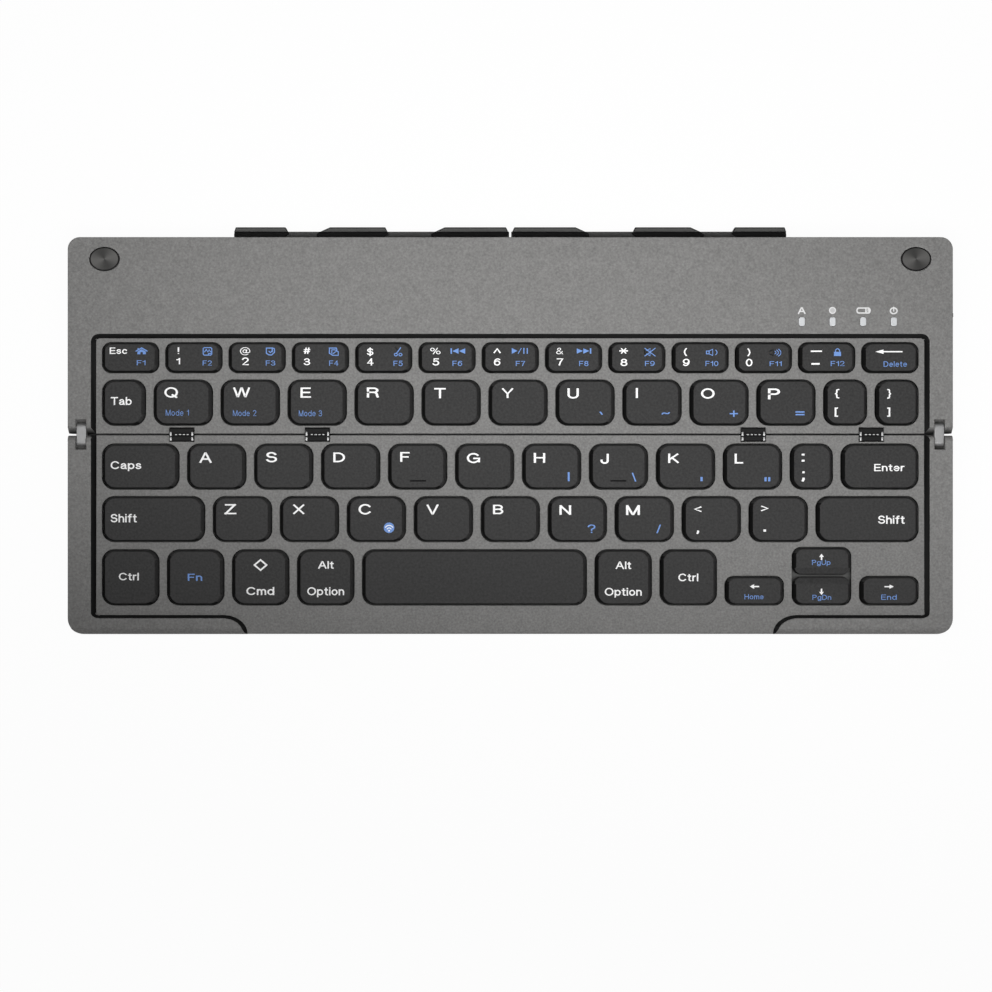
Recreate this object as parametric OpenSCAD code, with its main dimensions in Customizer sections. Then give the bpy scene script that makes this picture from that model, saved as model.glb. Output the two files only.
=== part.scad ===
/* [Key field] */
// Distance from one letter key to the next
letter_pitch = 19; // [18:0.1:20]
// Width of the opening of a letter key in the rear half
letter_w = 16.9; // [15.5:0.1:17]
// Width of the opening of a letter key in the front half
home_letter_w = 16.9; // [15.5:0.1:17]
// Depth of the opening of a letter key
letter_d = 13.15; // [12.4:0.05:14]
// Depth of a number key's opening
number_d = 8.85; // [8.4:0.05:10]
// Width of a number key's opening
number_w = 16.3; // [15:0.1:16.8]
// Depth of the openings in the row with the space bar
space_d = 16; // [15:0.1:17.6]
// Width of the Tab key's opening
tab_w = 12.55; // [11:0.05:16]
// Width of each bracket key's opening
bracket_w = 12.5; // [11:0.1:14]
// Width of the colon key's opening
colon_w = 12.3; // [11:0.1:13.6]
// Width of the openings for Ctrl, Fn and Cmd
modifier_w = 16.35; // [14:0.05:17]
// Width of the openings for Alt and the right-hand Ctrl
alt_w = 16.35; // [14:0.05:17]
// Width of an arrow key's opening
arrow_w = 16.9; // [15:0.1:18]
// Depth of a half-height arrow key's opening
arrow_d = 8.45; // [8:0.05:9.4]
// How much further back the up key reaches than its row
arrow_step = 0.65; // [0:0.05:1.2]
// Bar of deck between openings that lie side by side
key_bar = 2.1; // [1.8:0.05:3]
// Bar of deck between two arrow keys
arrow_bar = 2.2; // [1.6:0.05:2.6]
// Bar of deck between two rows of openings
row_bar = 1.75; // [1.2:0.05:2.4]
// Bar of deck behind the row with the space bar
space_row_bar = 1.95; // [1.2:0.05:2.4]
// Sideways offset of the bottom letter row from the home row
bottom_stagger = 7.3; // [5:0.1:9]
// Corner radius of a large opening
key_corner = 3.6; // [2:0.1:3.8]
// Corner radius of a small opening
small_corner = 2.7; // [1.8:0.1:3]

/* [Keycaps] */
// Gap between a keycap and its opening, on each side
key_gap = 0.3; // [0.2:0.05:0.4]
// How far a keycap's sides lean in
key_draft = 0.35; // [0.2:0.05:0.5]
// Height of a keycap's top over the deck
key_rise = 1.4; // [1.2:0.1:2]
// Wall thickness of a keycap
key_wall = 1; // [0.8:0.1:1.2]
// Travel of a key
key_travel = 1.2; // [0.8:0.1:1.4]
// Radius of the plunger under a keycap
plunger_r = 1.4; // [1:0.1:1.6]

/* [Case] */
// Height of the raised border over the deck
border_rise = 2.2; // [2:0.1:3]
// Width of the border's flat top at each side
border_w = 6.45; // [6:0.05:9]
// Width of the border's flat top at the front corners
front_border_w = 4.55; // [3.6:0.05:6]
// Depth of the plain panel behind the keys
rear_panel_d = 27.25; // [26:0.25:34]
// Lean of the walls between the border and the deck
wall_draft = 1.25; // [0.8:0.05:2]
// Lean of the wall at the front border
front_wall_draft = 0.85; // [0.6:0.05:1.2]
// Thickness of the deck round the keys
deck_t = 1; // [0.8:0.1:1.2]
// Deck left at each end of the key rows
deck_side = 1.6; // [1.2:0.1:2.5]
// Deck left behind the number keys
deck_rear = 1.05; // [0.8:0.05:2]
// Deck left in front of the space bar
deck_front = 2.7; // [2:0.1:4]
// Deck left between the fold and the nearest keys
seam_web = 2.5; // [2.45:0.05:3.5]
// Gap between the two halves at the border
seam_gap = 0.6; // [0.4:0.1:1]
// Gap between the two decks
deck_gap = 0.5; // [0.25:0.05:0.5]
// Thickness of the lip under the gap between the decks
lip_t = 0.5; // [0.4:0.1:0.8]
// Half the length of the low middle part of the front edge
front_notch = 75.6; // [60:0.1:85]
// Corner radius of the rear half
rear_corner = 3.4; // [2:0.1:4]
// Corner radius of the front half
front_corner = 4.6; // [3:0.1:5]
// Radius along the front corners' top
front_round = 2.2; // [1:0.1:2.2]
// Radius along the top of the low middle of the front edge
lip_round = 0.6; // [0.3:0.1:1.2]
// Corner radius where the border meets the deck
tray_corner = 1.1; // [0.8:0.1:2]
// Thickness of the bottom covers
floor_t = 1; // [0.8:0.1:1.2]
// Height of the rubber feet under the bottom covers
foot_h = 0.8; // [0.6:0.1:1.2]
// Radius of a rubber foot
foot_r = 4; // [3:0.5:5]

/* [Hinges] */
// Depth of the hinge pins' axes under the border's top
pivot_drop = 2; // [1.9:0.05:2.2]
// Gap left between the two borders when folded
fold_gap = 0.2; // [0.1:0.05:0.4]
// Radius of a hinge pin
pin_r = 0.5; // [0.4:0.05:0.6]
// Gap between a hinge pin and its link
pin_gap = 0.05; // [0.03:0.01:0.08]
// End radius of a side link
link_r = 1.1; // [1:0.05:1.2]
// Width of a side link
link_w = 2.8; // [2.2:0.1:3]
// Gap between a link and each side of its slot
slot_gap = 0.12; // [0.1:0.01:0.2]
// Length of a hinge pin outside its link, on each side
pin_bite = 1; // [0.8:0.1:1.3]
// Width of a ribbed bridge across the fold
bridge_w = 6.9; // [6:0.1:8]
// Length of a ribbed bridge
bridge_d = 3.9; // [3.4:0.1:4.1]

/* [Inside] */
// Thickness of the steel plate under the keys
plate_t = 0.4; // [0.3:0.05:0.6]
// Thickness of the switch membrane
membrane_t = 0.3; // [0.2:0.05:0.4]
// Thickness of the sheet that carries the domes
sheet_t = 0.2; // [0.15:0.05:0.3]
// Base radius of a rubber dome
dome_r = 2.3; // [2:0.1:2.4]
// Thickness of a scissor lever
lever_t = 0.5; // [0.4:0.05:0.6]
// Width of the battery
battery_w = 76; // [50:1:100]
// How far the battery sits to the left of the case's middle from the case's middle
battery_off = 20; // [0:1:24]
// Depth of the battery
battery_d = 19; // [12:0.5:19.5]
// Thickness of the battery
battery_t = 3; // [2:0.1:3.2]
// Thickness of the main board
board_t = 0.8; // [0.6:0.1:1]
// Length of a leg of the space bar's wire
wire_leg = 3; // [2.6:0.1:3.4]
// Radius of a screw's shank
screw_r = 0.7; // [0.5:0.05:0.8]
// Length of a screw's shank
screw_l = 3.4; // [2.5:0.1:4]
// Radius of a magnet in the front corners
magnet_r = 1.4; // [1:0.1:1.5]

/* [Fittings] */
// Width of a steel disc at the rear corners
disc_w = 8.6; // [7:0.1:9.4]
// Depth of a steel disc
disc_d = 6.8; // [6:0.1:7]
// Thickness of a steel disc
disc_t = 0.6; // [0.4:0.05:0.7]
// Width of an indicator window
window_w = 1.7; // [1.4:0.1:2]
// Depth of an indicator window
window_d = 2.5; // [2:0.1:2.6]
// Distance from the last indicator window to the board's end
window_margin = 10.6; // [9:0.1:12]
// Width of the charging socket's mouth
port_w = 7.4; // [7:0.1:9]
// Height of the charging socket's mouth
port_h = 2.4; // [2:0.1:2.6]
// Wall thickness of the charging socket
port_t = 0.3; // [0.25:0.05:0.4]
// Travel of the power switch
switch_travel = 2; // [1:0.1:2.5]
// Length of the power switch's knob along the edge
knob_l = 1.2; // [1:0.1:1.6]
// How far the power switch's knob stands out
knob_out = 0.5; // [0.3:0.1:0.8]

/* [Stand] */
// Width of one stand leaf
leaf_w = 78.4; // [60:0.2:79]
// Thickness of a stand leaf
leaf_t = 1.1; // [0.9:0.05:1.2]
// Distance from the leaf's hinge to the rear edge
leaf_reach = 18; // [14:0.5:20]
// How far the leaf stands out behind the case
leaf_out = 2.2; // [1:0.1:2.4]
// How far the rubber grips stand out behind the case
grip_out = 3.25; // [2.4:0.05:3.4]
// Height of a rubber grip
grip_h = 3.2; // [2.4:0.1:4]
// Radius of the rod that the leaves turn on
rod_r = 0.3; // [0.25:0.01:0.35]
// Gap between the rod and a leaf
rod_gap = 0.03; // [0.02:0.01:0.06]

/* [Hidden] */
$fn = 48;
eps = 0.01;
through = 40;

// Heights over the table, from the bottom up
floor_top = foot_h + floor_t;
plate_top = floor_top + plate_t;
membrane_top = plate_top + membrane_t;
sheet_top = membrane_top + sheet_t;
key_bottom = sheet_top + key_travel + 0.05;
deck_bottom = key_bottom + 0.25;
deck_top = deck_bottom + deck_t;
cap_top = deck_top + key_rise;
border_top = deck_top + border_rise;

// The fold: two parallel axes, one in each half, joined by the side links
pivot_z = border_top - pivot_drop;
pivot_y = pivot_drop + fold_gap / 2;
seam_round = min(pivot_y - seam_gap / 2, pivot_drop);
slot_w = link_w + 2 * slot_gap;
slot_reach = pivot_y + link_r + 1.05;

// Sideways places, measured from the middle of the key field
bracket_bar = key_bar;
field_w = tab_w + key_bar + 9 * letter_pitch + letter_w + key_bar + 2 * bracket_w + bracket_bar;
field_x = -field_w / 2;
q_x = field_x + tab_w + key_bar;
a_x = q_x + letter_pitch / 2;
z_x = a_x + bottom_stagger;
number_pitch = (field_w - number_w) / 12;
home_gap = letter_pitch - home_letter_w;
deck_half_w = field_w / 2 + deck_side;
body_w = 2 * (deck_half_w + wall_draft + border_w);
side_x = body_w / 2;
link_x = side_x - border_w / 2 - 0.45;
screw_x = side_x - border_w / 2;

// Places along the depth, measured from the fold
row_2_y = seam_web;
row_1_y = row_2_y + letter_d + row_bar;
tray_rear = row_1_y + number_d + deck_rear;
panel_y = tray_rear + wall_draft;
rear_y = panel_y + rear_panel_d;
row_3_y = -seam_web - letter_d;
row_4_y = row_3_y - row_bar - letter_d;
row_5_y = row_4_y - space_row_bar - space_d;
tray_front = row_5_y - deck_front;
front_y = tray_front - front_wall_draft - front_border_w;
arrow_split_y = row_5_y + arrow_d;

// The rooms inside the covers
room_half_w = field_w / 2 + 1;
room_seam = seam_web - 1.2;
panel_room_y = panel_y + 1;
panel_room_rear = rear_y - 2;
panel_room_half_w = side_x - 5.9;
panel_room_top = border_top - 1;
rest_z = floor_top + 1.2;
leaf_room_top = foot_h + 1.5;
leaf_z = foot_h + 0.15;
rod_y = rear_y - leaf_reach;
rod_z = leaf_z + leaf_t / 2;
barrel_r = leaf_t / 2 + 0.1;
leaf_gap = 0.6;
leaf_room_half_w = leaf_w + leaf_gap / 2 + 0.3;
board_x = leaf_room_half_w + 2.2;
board_z = floor_top + 1;
board_rear = panel_room_rear - 1;
board_front = panel_room_y + 0.8;
board_end = panel_room_half_w - 0.2;
window_x = board_x + window_w / 2 + 0.4;
window_pitch = (board_end - window_margin - window_x) / 3;
window_y = panel_y + 3.35;
disc_x = side_x - 10.4;
disc_y = rear_y - 6.2;
port_y = rear_y - 12;
port_z = board_z + board_t - 0.4;
switch_y = panel_y + 5.35;
switch_z = board_z + board_t + 1.4;
knob_t = 1;
front_lip_half_w = front_notch + 1.27 * front_border_w;

NUMBER_NODES = ["key_esc", "keys_1_to_4", "keys_5_to_8", "keys_9_to_dash"];
modifier_pitch = modifier_w + key_bar;
alt_left_x = field_x + 3 * modifier_pitch;
space_x = alt_left_x + alt_w + key_bar;
ctrl_right_x = arrow_x(2) - key_bar - alt_w;
alt_right_x = ctrl_right_x - key_bar - alt_w;
space_end = alt_right_x - key_bar;
enter_x = a_x + 9 * letter_pitch + colon_w + key_bar;
shift_x = z_x + 8 * letter_pitch + home_letter_w + key_bar;

// Every keycap's share of an opening: node, left, front, width, depth, corner radius
KEYS = concat(
    [for (i = [0:12]) [number_node(i),
        field_x + i * number_pitch, row_1_y, number_w, number_d, small_corner]],
    [["key_tab", field_x, row_2_y, tab_w, letter_d, key_corner]],
    [for (i = [0:9]) [i < 5 ? "keys_q_to_t" : "keys_y_to_p",
        q_x + i * letter_pitch, row_2_y, letter_w, letter_d, key_corner]],
    [for (i = [0:1]) ["keys_brackets", -field_x - bracket_w - i * (bracket_w + bracket_bar),
        row_2_y, bracket_w, letter_d, key_corner]],
    [["key_caps", field_x, row_3_y, a_x - home_gap - field_x, letter_d, key_corner]],
    [for (i = [0:8]) [i < 5 ? "keys_a_to_g" : "keys_h_to_colon",
        a_x + i * letter_pitch, row_3_y, home_letter_w, letter_d, key_corner]],
    [["keys_h_to_colon", a_x + 9 * letter_pitch, row_3_y, colon_w, letter_d, key_corner],
     ["key_enter", enter_x, row_3_y, -field_x - enter_x, letter_d, key_corner],
     ["key_shift_left", field_x, row_4_y, z_x - home_gap - field_x, letter_d, key_corner]],
    [for (i = [0:8]) [i < 5 ? "keys_z_to_b" : "keys_n_to_point",
        z_x + i * letter_pitch, row_4_y, home_letter_w, letter_d, key_corner]],
    [["key_shift_right", shift_x, row_4_y, -field_x - shift_x, letter_d, key_corner],
     ["key_ctrl_left", field_x, row_5_y, modifier_w, space_d, key_corner],
     ["key_fn", field_x + modifier_pitch, row_5_y, modifier_w, space_d, key_corner],
     ["key_cmd", field_x + 2 * modifier_pitch, row_5_y, modifier_w, space_d, key_corner],
     ["key_alts", alt_left_x, row_5_y, alt_w, space_d, key_corner],
     ["key_space", space_x, row_5_y, space_end - space_x, space_d, key_corner],
     ["key_alts", alt_right_x, row_5_y, alt_w, space_d, key_corner],
     ["key_ctrl_right", ctrl_right_x, row_5_y, alt_w, space_d, key_corner],
     ["key_left", arrow_x(2), row_5_y, arrow_w, arrow_d, small_corner],
     ["key_up", arrow_x(1), arrow_split_y, arrow_w, space_d + arrow_step - arrow_d, small_corner],
     ["key_down", arrow_x(1), row_5_y, arrow_w, arrow_d, small_corner],
     ["key_right", arrow_x(0), row_5_y, arrow_w, arrow_d, small_corner]]);

function number_node(i) = i == 12 ? "key_delete" : NUMBER_NODES[ceil(i / 4)];
function arrow_x(i) = -field_x - arrow_w - i * (arrow_w + arrow_bar);
function key_middle(k) = [k[1] + k[3] / 2, k[2] + k[4] / 2];
function is_front(k) = k[2] < 0;
function is_wide(k) = k[3] > 25;
function shares_opening(k) = k[0] == "key_up" || k[0] == "key_down";

// Where the bridges cross the fold, left to right
BRIDGE_X = [-0.804, -0.472, 0.595, 0.884] * (field_w / 2);
REAR_SCREWS = [[-1, 12], [1, 12], [-1, rear_y - 6], [1, rear_y - 6]];
FRONT_SCREWS = [[-1, -12], [1, -12], [-1, front_y + 8], [1, front_y + 8]];
REAR_FEET = [[-1, 12], [1, 12], [-1, rear_y - 10], [1, rear_y - 10]];
FRONT_FEET = [[-1, -12], [1, -12], [-1, front_y + 9], [1, front_y + 9]];
foot_x = side_x - 13;
foot_sink = 0.3;

case_grey = [0.47, 0.47, 0.46];
key_black = [0.2, 0.2, 0.2];
steel_grey = [0.66, 0.66, 0.67];
rubber_black = [0.08, 0.08, 0.08];

// Flat outlines and plain solids

module rounded_rect(w, d, r) {
    square([w, d - 2 * r], center = true);
    square([w - 2 * r, d], center = true);
    for (x = [-1, 1], y = [-1, 1]) translate([x * (w / 2 - r), y * (d / 2 - r)]) circle(r);
}

// A block on z = 0 whose four sides lean in by t, or out where t is negative
module tapered(w, d, r, h, t) {
    rotate([90, 0, 0]) linear_extrude(d - 2 * r, center = true)
        polygon([[-w / 2, 0], [w / 2, 0], [w / 2 - t, h], [t - w / 2, h]]);
    rotate([90, 0, 90]) linear_extrude(w - 2 * r, center = true)
        polygon([[-d / 2, 0], [d / 2, 0], [d / 2 - t, h], [t - d / 2, h]]);
    for (x = [-1, 1], y = [-1, 1]) translate([x * (w / 2 - r), y * (d / 2 - r), 0])
        cylinder(h = h, r1 = r, r2 = r - t);
}

module box(x0, x1, y0, y1, z0, z1) translate([x0, y0, z0]) cube([x1 - x0, y1 - y0, z1 - z0]);

// Outline of one half: square at the fold, with two round corners at the far edge
module half_outline(far_y, r) {
    side = sign(far_y);
    near_y = side * seam_gap / 2;
    low = min(near_y, far_y - side * r);
    translate([-side_x, low]) square([body_w, abs(far_y - side * r - near_y)]);
    translate([r - side_x, min(near_y, far_y)]) square([body_w - 2 * r, abs(far_y - near_y)]);
    for (x = [-1, 1]) translate([x * (side_x - r), far_y - side * r]) circle(r);
}

// Pieces of the rear half

module rear_tray() {
    depth = 2 * tray_rear;
    translate([0, 0, deck_top])
        tapered(2 * deck_half_w, depth, tray_corner, border_rise, -wall_draft);
    box(-side_x, side_x, -through, seam_gap / 2, deck_top, border_top + 1);
}

// The front half's border is round at the fold, and the rear half's has a flat slope
module seam_round_cut() {
    z = border_top - seam_round;
    difference() {
        translate([-side_x - 1, -pivot_y, z]) cube([body_w + 2, pivot_y, seam_round + 1]);
        translate([0, -pivot_y, z]) rotate([0, 90, 0])
            cylinder(r = seam_round, h = body_w + 4, center = true);
    }
}

module seam_slope_cut() {
    rotate([90, 0, 90]) linear_extrude(body_w + 2, center = true)
        polygon([[pivot_y, border_top], [pivot_y, border_top + 1], [-1, border_top + 1],
            [-1, deck_top + 0.1], [seam_gap / 2, deck_top + 0.1]]);
}

module key_openings(front) {
    for (k = KEYS) if (is_front(k) == front && !shares_opening(k))
        translate([k[1] + k[3] / 2, k[2] + k[4] / 2, 0]) linear_extrude(border_top)
            rounded_rect(k[3], k[4], k[5]);
}

module link_slots(side) {
    for (x = [-1, 1]) translate([x * link_x - slot_w / 2, side > 0 ? 0 : -slot_reach, pivot_z - link_r - 0.3])
        cube([slot_w, slot_reach, through]);
}

module pins(side, r, bite) {
    for (x = [-1, 1]) translate([x * link_x, side * pivot_y, pivot_z]) rotate([0, 90, 0])
        cylinder(r = r, h = slot_w + 2 * bite, center = true);
}

module bridge_notches(side) {
    for (x = BRIDGE_X) box(x - bridge_w / 2 - 0.1, x + bridge_w / 2 + 0.1,
        side > 0 ? 0 : -bridge_d / 2 - 0.1, side > 0 ? bridge_d / 2 + 0.1 : 0, pivot_z - 1.1, through);
}

module screw_set(places, z_low) {
    for (p = places) translate([p[0] * screw_x, p[1], z_low]) children();
}

module disc() scale([disc_w / disc_d, 1, 1]) cylinder(d = disc_d, h = disc_t);

module windows(grow) {
    for (i = [0:3]) translate([window_x + i * window_pitch, window_y])
        rounded_rect(window_w + grow, window_d + grow, 0.6);
}

module rear_top_cover() color(case_grey) difference() {
    translate([0, 0, floor_top]) linear_extrude(border_top - floor_top) half_outline(rear_y, rear_corner);
    rear_tray();
    seam_slope_cut();
    box(-room_half_w, room_half_w, room_seam, tray_rear - 0.2, 0, deck_bottom);
    box(-panel_room_half_w, panel_room_half_w, panel_room_y, panel_room_rear, 0, panel_room_top);
    key_openings(false);
    link_slots(1);
    pins(1, pin_r, pin_bite);
    bridge_notches(1);
    for (x = [-1, 1]) translate([x * disc_x, disc_y, border_top - disc_t]) disc();
    translate([0, 0, panel_room_top - 1]) linear_extrude(through) windows(0);
    translate([side_x - through / 2, port_y - port_w / 2 - port_t, port_z])
        cube([through, port_w + 2 * port_t, port_h + 2 * port_t]);
    translate([side_x - through / 2, switch_y - knob_l / 2 - 0.2, switch_z - knob_t / 2 - 0.1])
        cube([through, knob_l + switch_travel + 0.4, knob_t + 0.2]);
    screw_set(REAR_SCREWS, 0) cylinder(r = screw_r, h = floor_top + screw_l);
    leaf_room();
}

// The leaves' room under the case, open at the rear edge
module leaf_room() {
    box(-leaf_room_half_w, leaf_room_half_w, rod_y - barrel_r - 0.3, rear_y + 1, 0, leaf_room_top);
}

module screw_recess(places) {
    screw_set(places, foot_h + 0.1) cylinder(r = screw_r + 0.75, h = 0.5);
    screw_set(places, 0) cylinder(r = screw_r + 0.75, h = foot_h + 0.1 + eps);
    screw_set(places, 0) cylinder(r = screw_r, h = through);
}

module foot_seats(places) {
    for (p = places) translate([p[0] * foot_x, p[1], 0]) cylinder(r = foot_r, h = foot_h + foot_sink);
}

module rear_bottom_cover() color(case_grey) difference() {
    union() {
        translate([0, 0, foot_h]) linear_extrude(floor_t) half_outline(rear_y, rear_corner);
        box(-board_x + 0.2, board_x - 0.2, panel_room_y + 0.2, panel_room_rear - 0.2, foot_h, rest_z);
        for (x = [board_x + 2, board_end - 4], y = [board_front + 2, board_rear - 2])
            translate([x, y, foot_h]) cylinder(r = 1.4, h = board_z - foot_h);
        box(-link_x, link_x, 0.1 - seam_gap / 2, seam_gap / 2 + 0.2, foot_h, foot_h + lip_t);
    }
    leaf_room();
    translate([0, rod_y, rod_z]) rotate([0, 90, 0])
        cylinder(r = rod_r, h = 2 * leaf_room_half_w + 3, center = true);
    screw_recess(REAR_SCREWS);
    foot_seats(REAR_FEET);
}

module rear_base_plate() color(steel_grey)
    box(-room_half_w + 0.5, room_half_w - 0.5, room_seam + 0.3, tray_rear - 0.6, floor_top, plate_top);

module rear_membrane() color([0.75, 0.8, 0.72])
    box(-room_half_w + 0.8, room_half_w - 0.8, room_seam + 0.5, tray_rear - 0.8, plate_top, membrane_top);

module dome_sheet(front, y0, y1) {
    dome_h = key_bottom + 0.15 - sheet_top;
    box(-room_half_w + 0.9, room_half_w - 0.9, y0, y1, membrane_top, sheet_top);
    for (k = KEYS) if (is_front(k) == front)
        translate(concat(key_middle(k), sheet_top - eps))
            cylinder(r1 = dome_base(k), r2 = min(plunger_r + 0.1, dome_base(k) - 0.1), h = dome_h + eps);
}

module rear_dome_sheet() color([0.9, 0.9, 0.86])
    dome_sheet(false, room_seam + 0.6, tray_rear - 0.9);

// Depth of a scissor pair, and the base radius of the dome that fits between its levers
function scissor_d(k) = min(k[4] - 2 * (key_gap + key_wall) - 0.4, 9,
    k[0] == "key_space" ? space_d - 2 * (wire_foot_y - row_5_y + wire_leg_y + wire_r + 0.3) : through);
function dome_base(k) = min(dome_r, scissor_d(k) / 2 - lever_bar - 0.35);
lever_bar = 0.7;

// One lever of a scissor pair: a flat frame that leans along Y
module lever(w, d, rise, lean) {
    angle = lean * asin(rise / d);
    rotate([angle, 0, 0]) difference() {
        cube([w, d, lever_t], center = true);
        cube([w - 1.2, d - 2 * lever_bar, lever_t + 1], center = true);
    }
}

module scissor_pair(k) {
    inner_w = k[3] - 2 * (key_gap + key_wall) - 2;
    w = min(inner_w, 11.4);
    d = scissor_d(k);
    floor_z = sheet_top + 0.1;
    ceiling_z = cap_top - key_wall - 0.1;
    middle = (floor_z + ceiling_z) / 2;
    rise = ceiling_z - floor_z - lever_t * 1.15;
    translate(concat(key_middle(k), middle)) {
        lever(w, d, rise, 1);
        lever(w - 1.6, d, rise, -1);
    }
}

module rear_scissors() color([0.85, 0.85, 0.82])
    for (k = KEYS) if (!is_front(k)) scissor_pair(k);

module main_board() color([0.1, 0.35, 0.2]) {
    top = board_z + board_t;
    box(board_x, board_end, board_front, board_rear, board_z, top);
    box(board_x + 8, board_x + 15, window_y + 6, window_y + 13, top - eps, top + 1);
    box(board_x + 20, board_x + 25, window_y + 8, window_y + 12, top - eps, top + 0.8);
    box(board_x + 9, board_x + 12, window_y + 15, window_y + 16.4, top - eps, top + 1.1);
    for (i = [0:3]) translate([window_x + i * window_pitch - 0.7, window_y - 0.4, top - eps])
        cube([1.4, 0.8, 0.5]);
    box(board_end - 3.4, board_end, switch_y - 2, switch_y + 4, top - eps, switch_z + 0.9);
}

module battery() color([0.7, 0.72, 0.75])
    translate([-battery_w / 2 - battery_off, panel_room_y + 1, rest_z])
        cube([battery_w, battery_d, battery_t]);

module charge_port() color(steel_grey) translate([board_end, port_y - port_w / 2 - port_t, port_z]) {
    length = side_x - 0.2 - board_end;
    difference() {
        cube([length, port_w + 2 * port_t, port_h + 2 * port_t]);
        translate([1, port_t, port_t]) cube([length, port_w, port_h]);
    }
    translate([1 - eps, port_t + 1.2, port_t + port_h / 2 - 0.3]) cube([length - 2, port_w - 2.4, 0.6]);
}

module indicator_windows() color([0.85, 0.86, 0.87])
    translate([0, 0, board_z + board_t + 0.8])
        linear_extrude(border_top - board_z - board_t - 0.8) windows(0);

module corner_discs() color([0.35, 0.35, 0.35])
    for (x = [-1, 1]) translate([x * disc_x, disc_y, border_top - disc_t]) disc();

module screw() {
    cylinder(r = screw_r + 0.7, h = 0.5);
    cylinder(r = screw_r, h = floor_top + screw_l - foot_h - 0.1);
}

module rear_screws() color(steel_grey) screw_set(REAR_SCREWS, foot_h + 0.1) screw();

module feet(places) {
    for (p = places) translate([p[0] * foot_x, p[1], 0]) cylinder(r = foot_r, h = foot_h + foot_sink);
}

module rear_feet() color(rubber_black) feet(REAR_FEET);

module rear_hinge_pins() color(steel_grey) pins(1, pin_r, pin_bite);

module power_switch() color(rubber_black)
    translate([board_end + 0.2, switch_y - knob_l / 2, switch_z - knob_t / 2])
        cube([side_x + knob_out - board_end - 0.2, knob_l, knob_t]);

// Pieces that ride between the halves

module side_links() color(steel_grey) for (x = [-1, 1]) translate([x * link_x, 0, pivot_z])
    rotate([0, 90, 0]) difference() {
        linear_extrude(link_w, center = true) {
            square([2 * link_r, 2 * pivot_y], center = true);
            for (y = [-1, 1]) translate([0, y * pivot_y]) circle(link_r);
        }
        for (y = [-1, 1]) translate([0, y * pivot_y, 0])
            cylinder(r = pin_r + pin_gap, h = link_w + 1, center = true);
    }

module seam_bridges() color(rubber_black) for (x = BRIDGE_X) translate([x, 0, pivot_z]) {
    base_w = bridge_w;
    rib_w = bridge_w / 9;
    translate([-base_w / 2, -bridge_d / 2, -0.8]) cube([base_w, bridge_d, 1]);
    for (i = [0:4]) translate([-base_w / 2 + 2 * i * rib_w, -bridge_d / 2, 0]) cube([rib_w, bridge_d, 0.7]);
}

// Pieces of the front half

module front_tray() {
    lean = front_wall_draft / wall_draft;
    w = 2 * deck_half_w;
    r = tray_corner;
    h = border_rise;
    rear = -tray_front;
    translate([0, 0, deck_top]) {
        rotate([90, 0, 0]) linear_extrude(2 * (rear - r * lean), center = true)
            polygon([[-w / 2, 0], [w / 2, 0], [w / 2 + wall_draft, h], [-w / 2 - wall_draft, h]]);
        rotate([90, 0, 90]) linear_extrude(w - 2 * r, center = true)
            polygon([[-rear, 0], [rear, 0], [rear + front_wall_draft, h], [-rear - front_wall_draft, h]]);
        for (x = [-1, 1]) translate([x * (w / 2 - r), r * lean - rear, 0])
            scale([1, lean, 1]) cylinder(h = h, r1 = r, r2 = r + wall_draft);
    }
}

// The low middle of the front edge, between the border's rounded ends
module front_notch_cut() {
    stretch = 1.27;
    difference() {
        box(-front_lip_half_w, front_lip_half_w, front_y - 1, tray_front + 0.1, deck_top, border_top + 1);
        for (x = [-1, 1]) translate([x * front_lip_half_w, front_y, deck_top - eps]) scale([stretch, 1, 1])
            cylinder(h = border_rise + eps, r1 = front_border_w + front_wall_draft, r2 = front_border_w);
    }
}

module front_edge_cut(top, half_w, r) {
    difference() {
        box(-half_w, half_w, front_y - 1, front_y + r, top - r, top + 0.001);
        translate([0, front_y + r, top - r]) rotate([0, 90, 0])
            cylinder(r = r, h = 2 * half_w + 2, center = true);
    }
}

module front_top_cover() color(case_grey) difference() {
    union() {
        translate([0, 0, floor_top]) linear_extrude(border_top - floor_top)
            half_outline(front_y, front_corner);
        box(-deck_half_w, deck_half_w, -seam_gap / 2 - 0.2, seam_gap / 2 - deck_gap, floor_top, deck_top);
    }
    front_tray();
    front_notch_cut();
    front_edge_cut(border_top, side_x + 1, front_round);
    front_edge_cut(deck_top, front_notch - 1, lip_round);
    seam_round_cut();
    box(-room_half_w, room_half_w, row_5_y - 1.2, -room_seam, 0, deck_bottom);
    key_openings(true);
    translate([arrow_x(1) + arrow_w / 2, row_5_y + (space_d + arrow_step) / 2, 0]) linear_extrude(border_top)
        rounded_rect(arrow_w, space_d + arrow_step, small_corner);
    link_slots(-1);
    pins(-1, pin_r, pin_bite);
    bridge_notches(-1);
    magnet_places() cylinder(r = magnet_r, h = border_top - 1 - floor_top);
    screw_set(FRONT_SCREWS, 0) cylinder(r = screw_r, h = floor_top + screw_l);
}

module magnet_places() {
    for (x = [-1, 1]) translate([x * disc_x, front_y + front_border_w - magnet_r, floor_top]) children();
}

module front_bottom_cover() color(case_grey) difference() {
    translate([0, 0, foot_h]) linear_extrude(floor_t) half_outline(front_y, front_corner);
    screw_recess(FRONT_SCREWS);
    foot_seats(FRONT_FEET);
}

module front_base_plate() color(steel_grey)
    box(-room_half_w + 0.5, room_half_w - 0.5, row_5_y - 0.8, -room_seam - 0.3, floor_top, plate_top);

module front_membrane() color([0.75, 0.8, 0.72])
    box(-room_half_w + 0.8, room_half_w - 0.8, row_5_y - 0.6, -room_seam - 0.5, plate_top, membrane_top);

module front_dome_sheet() color([0.9, 0.9, 0.86])
    dome_sheet(true, row_5_y - 0.5, -room_seam - 0.6);

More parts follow.
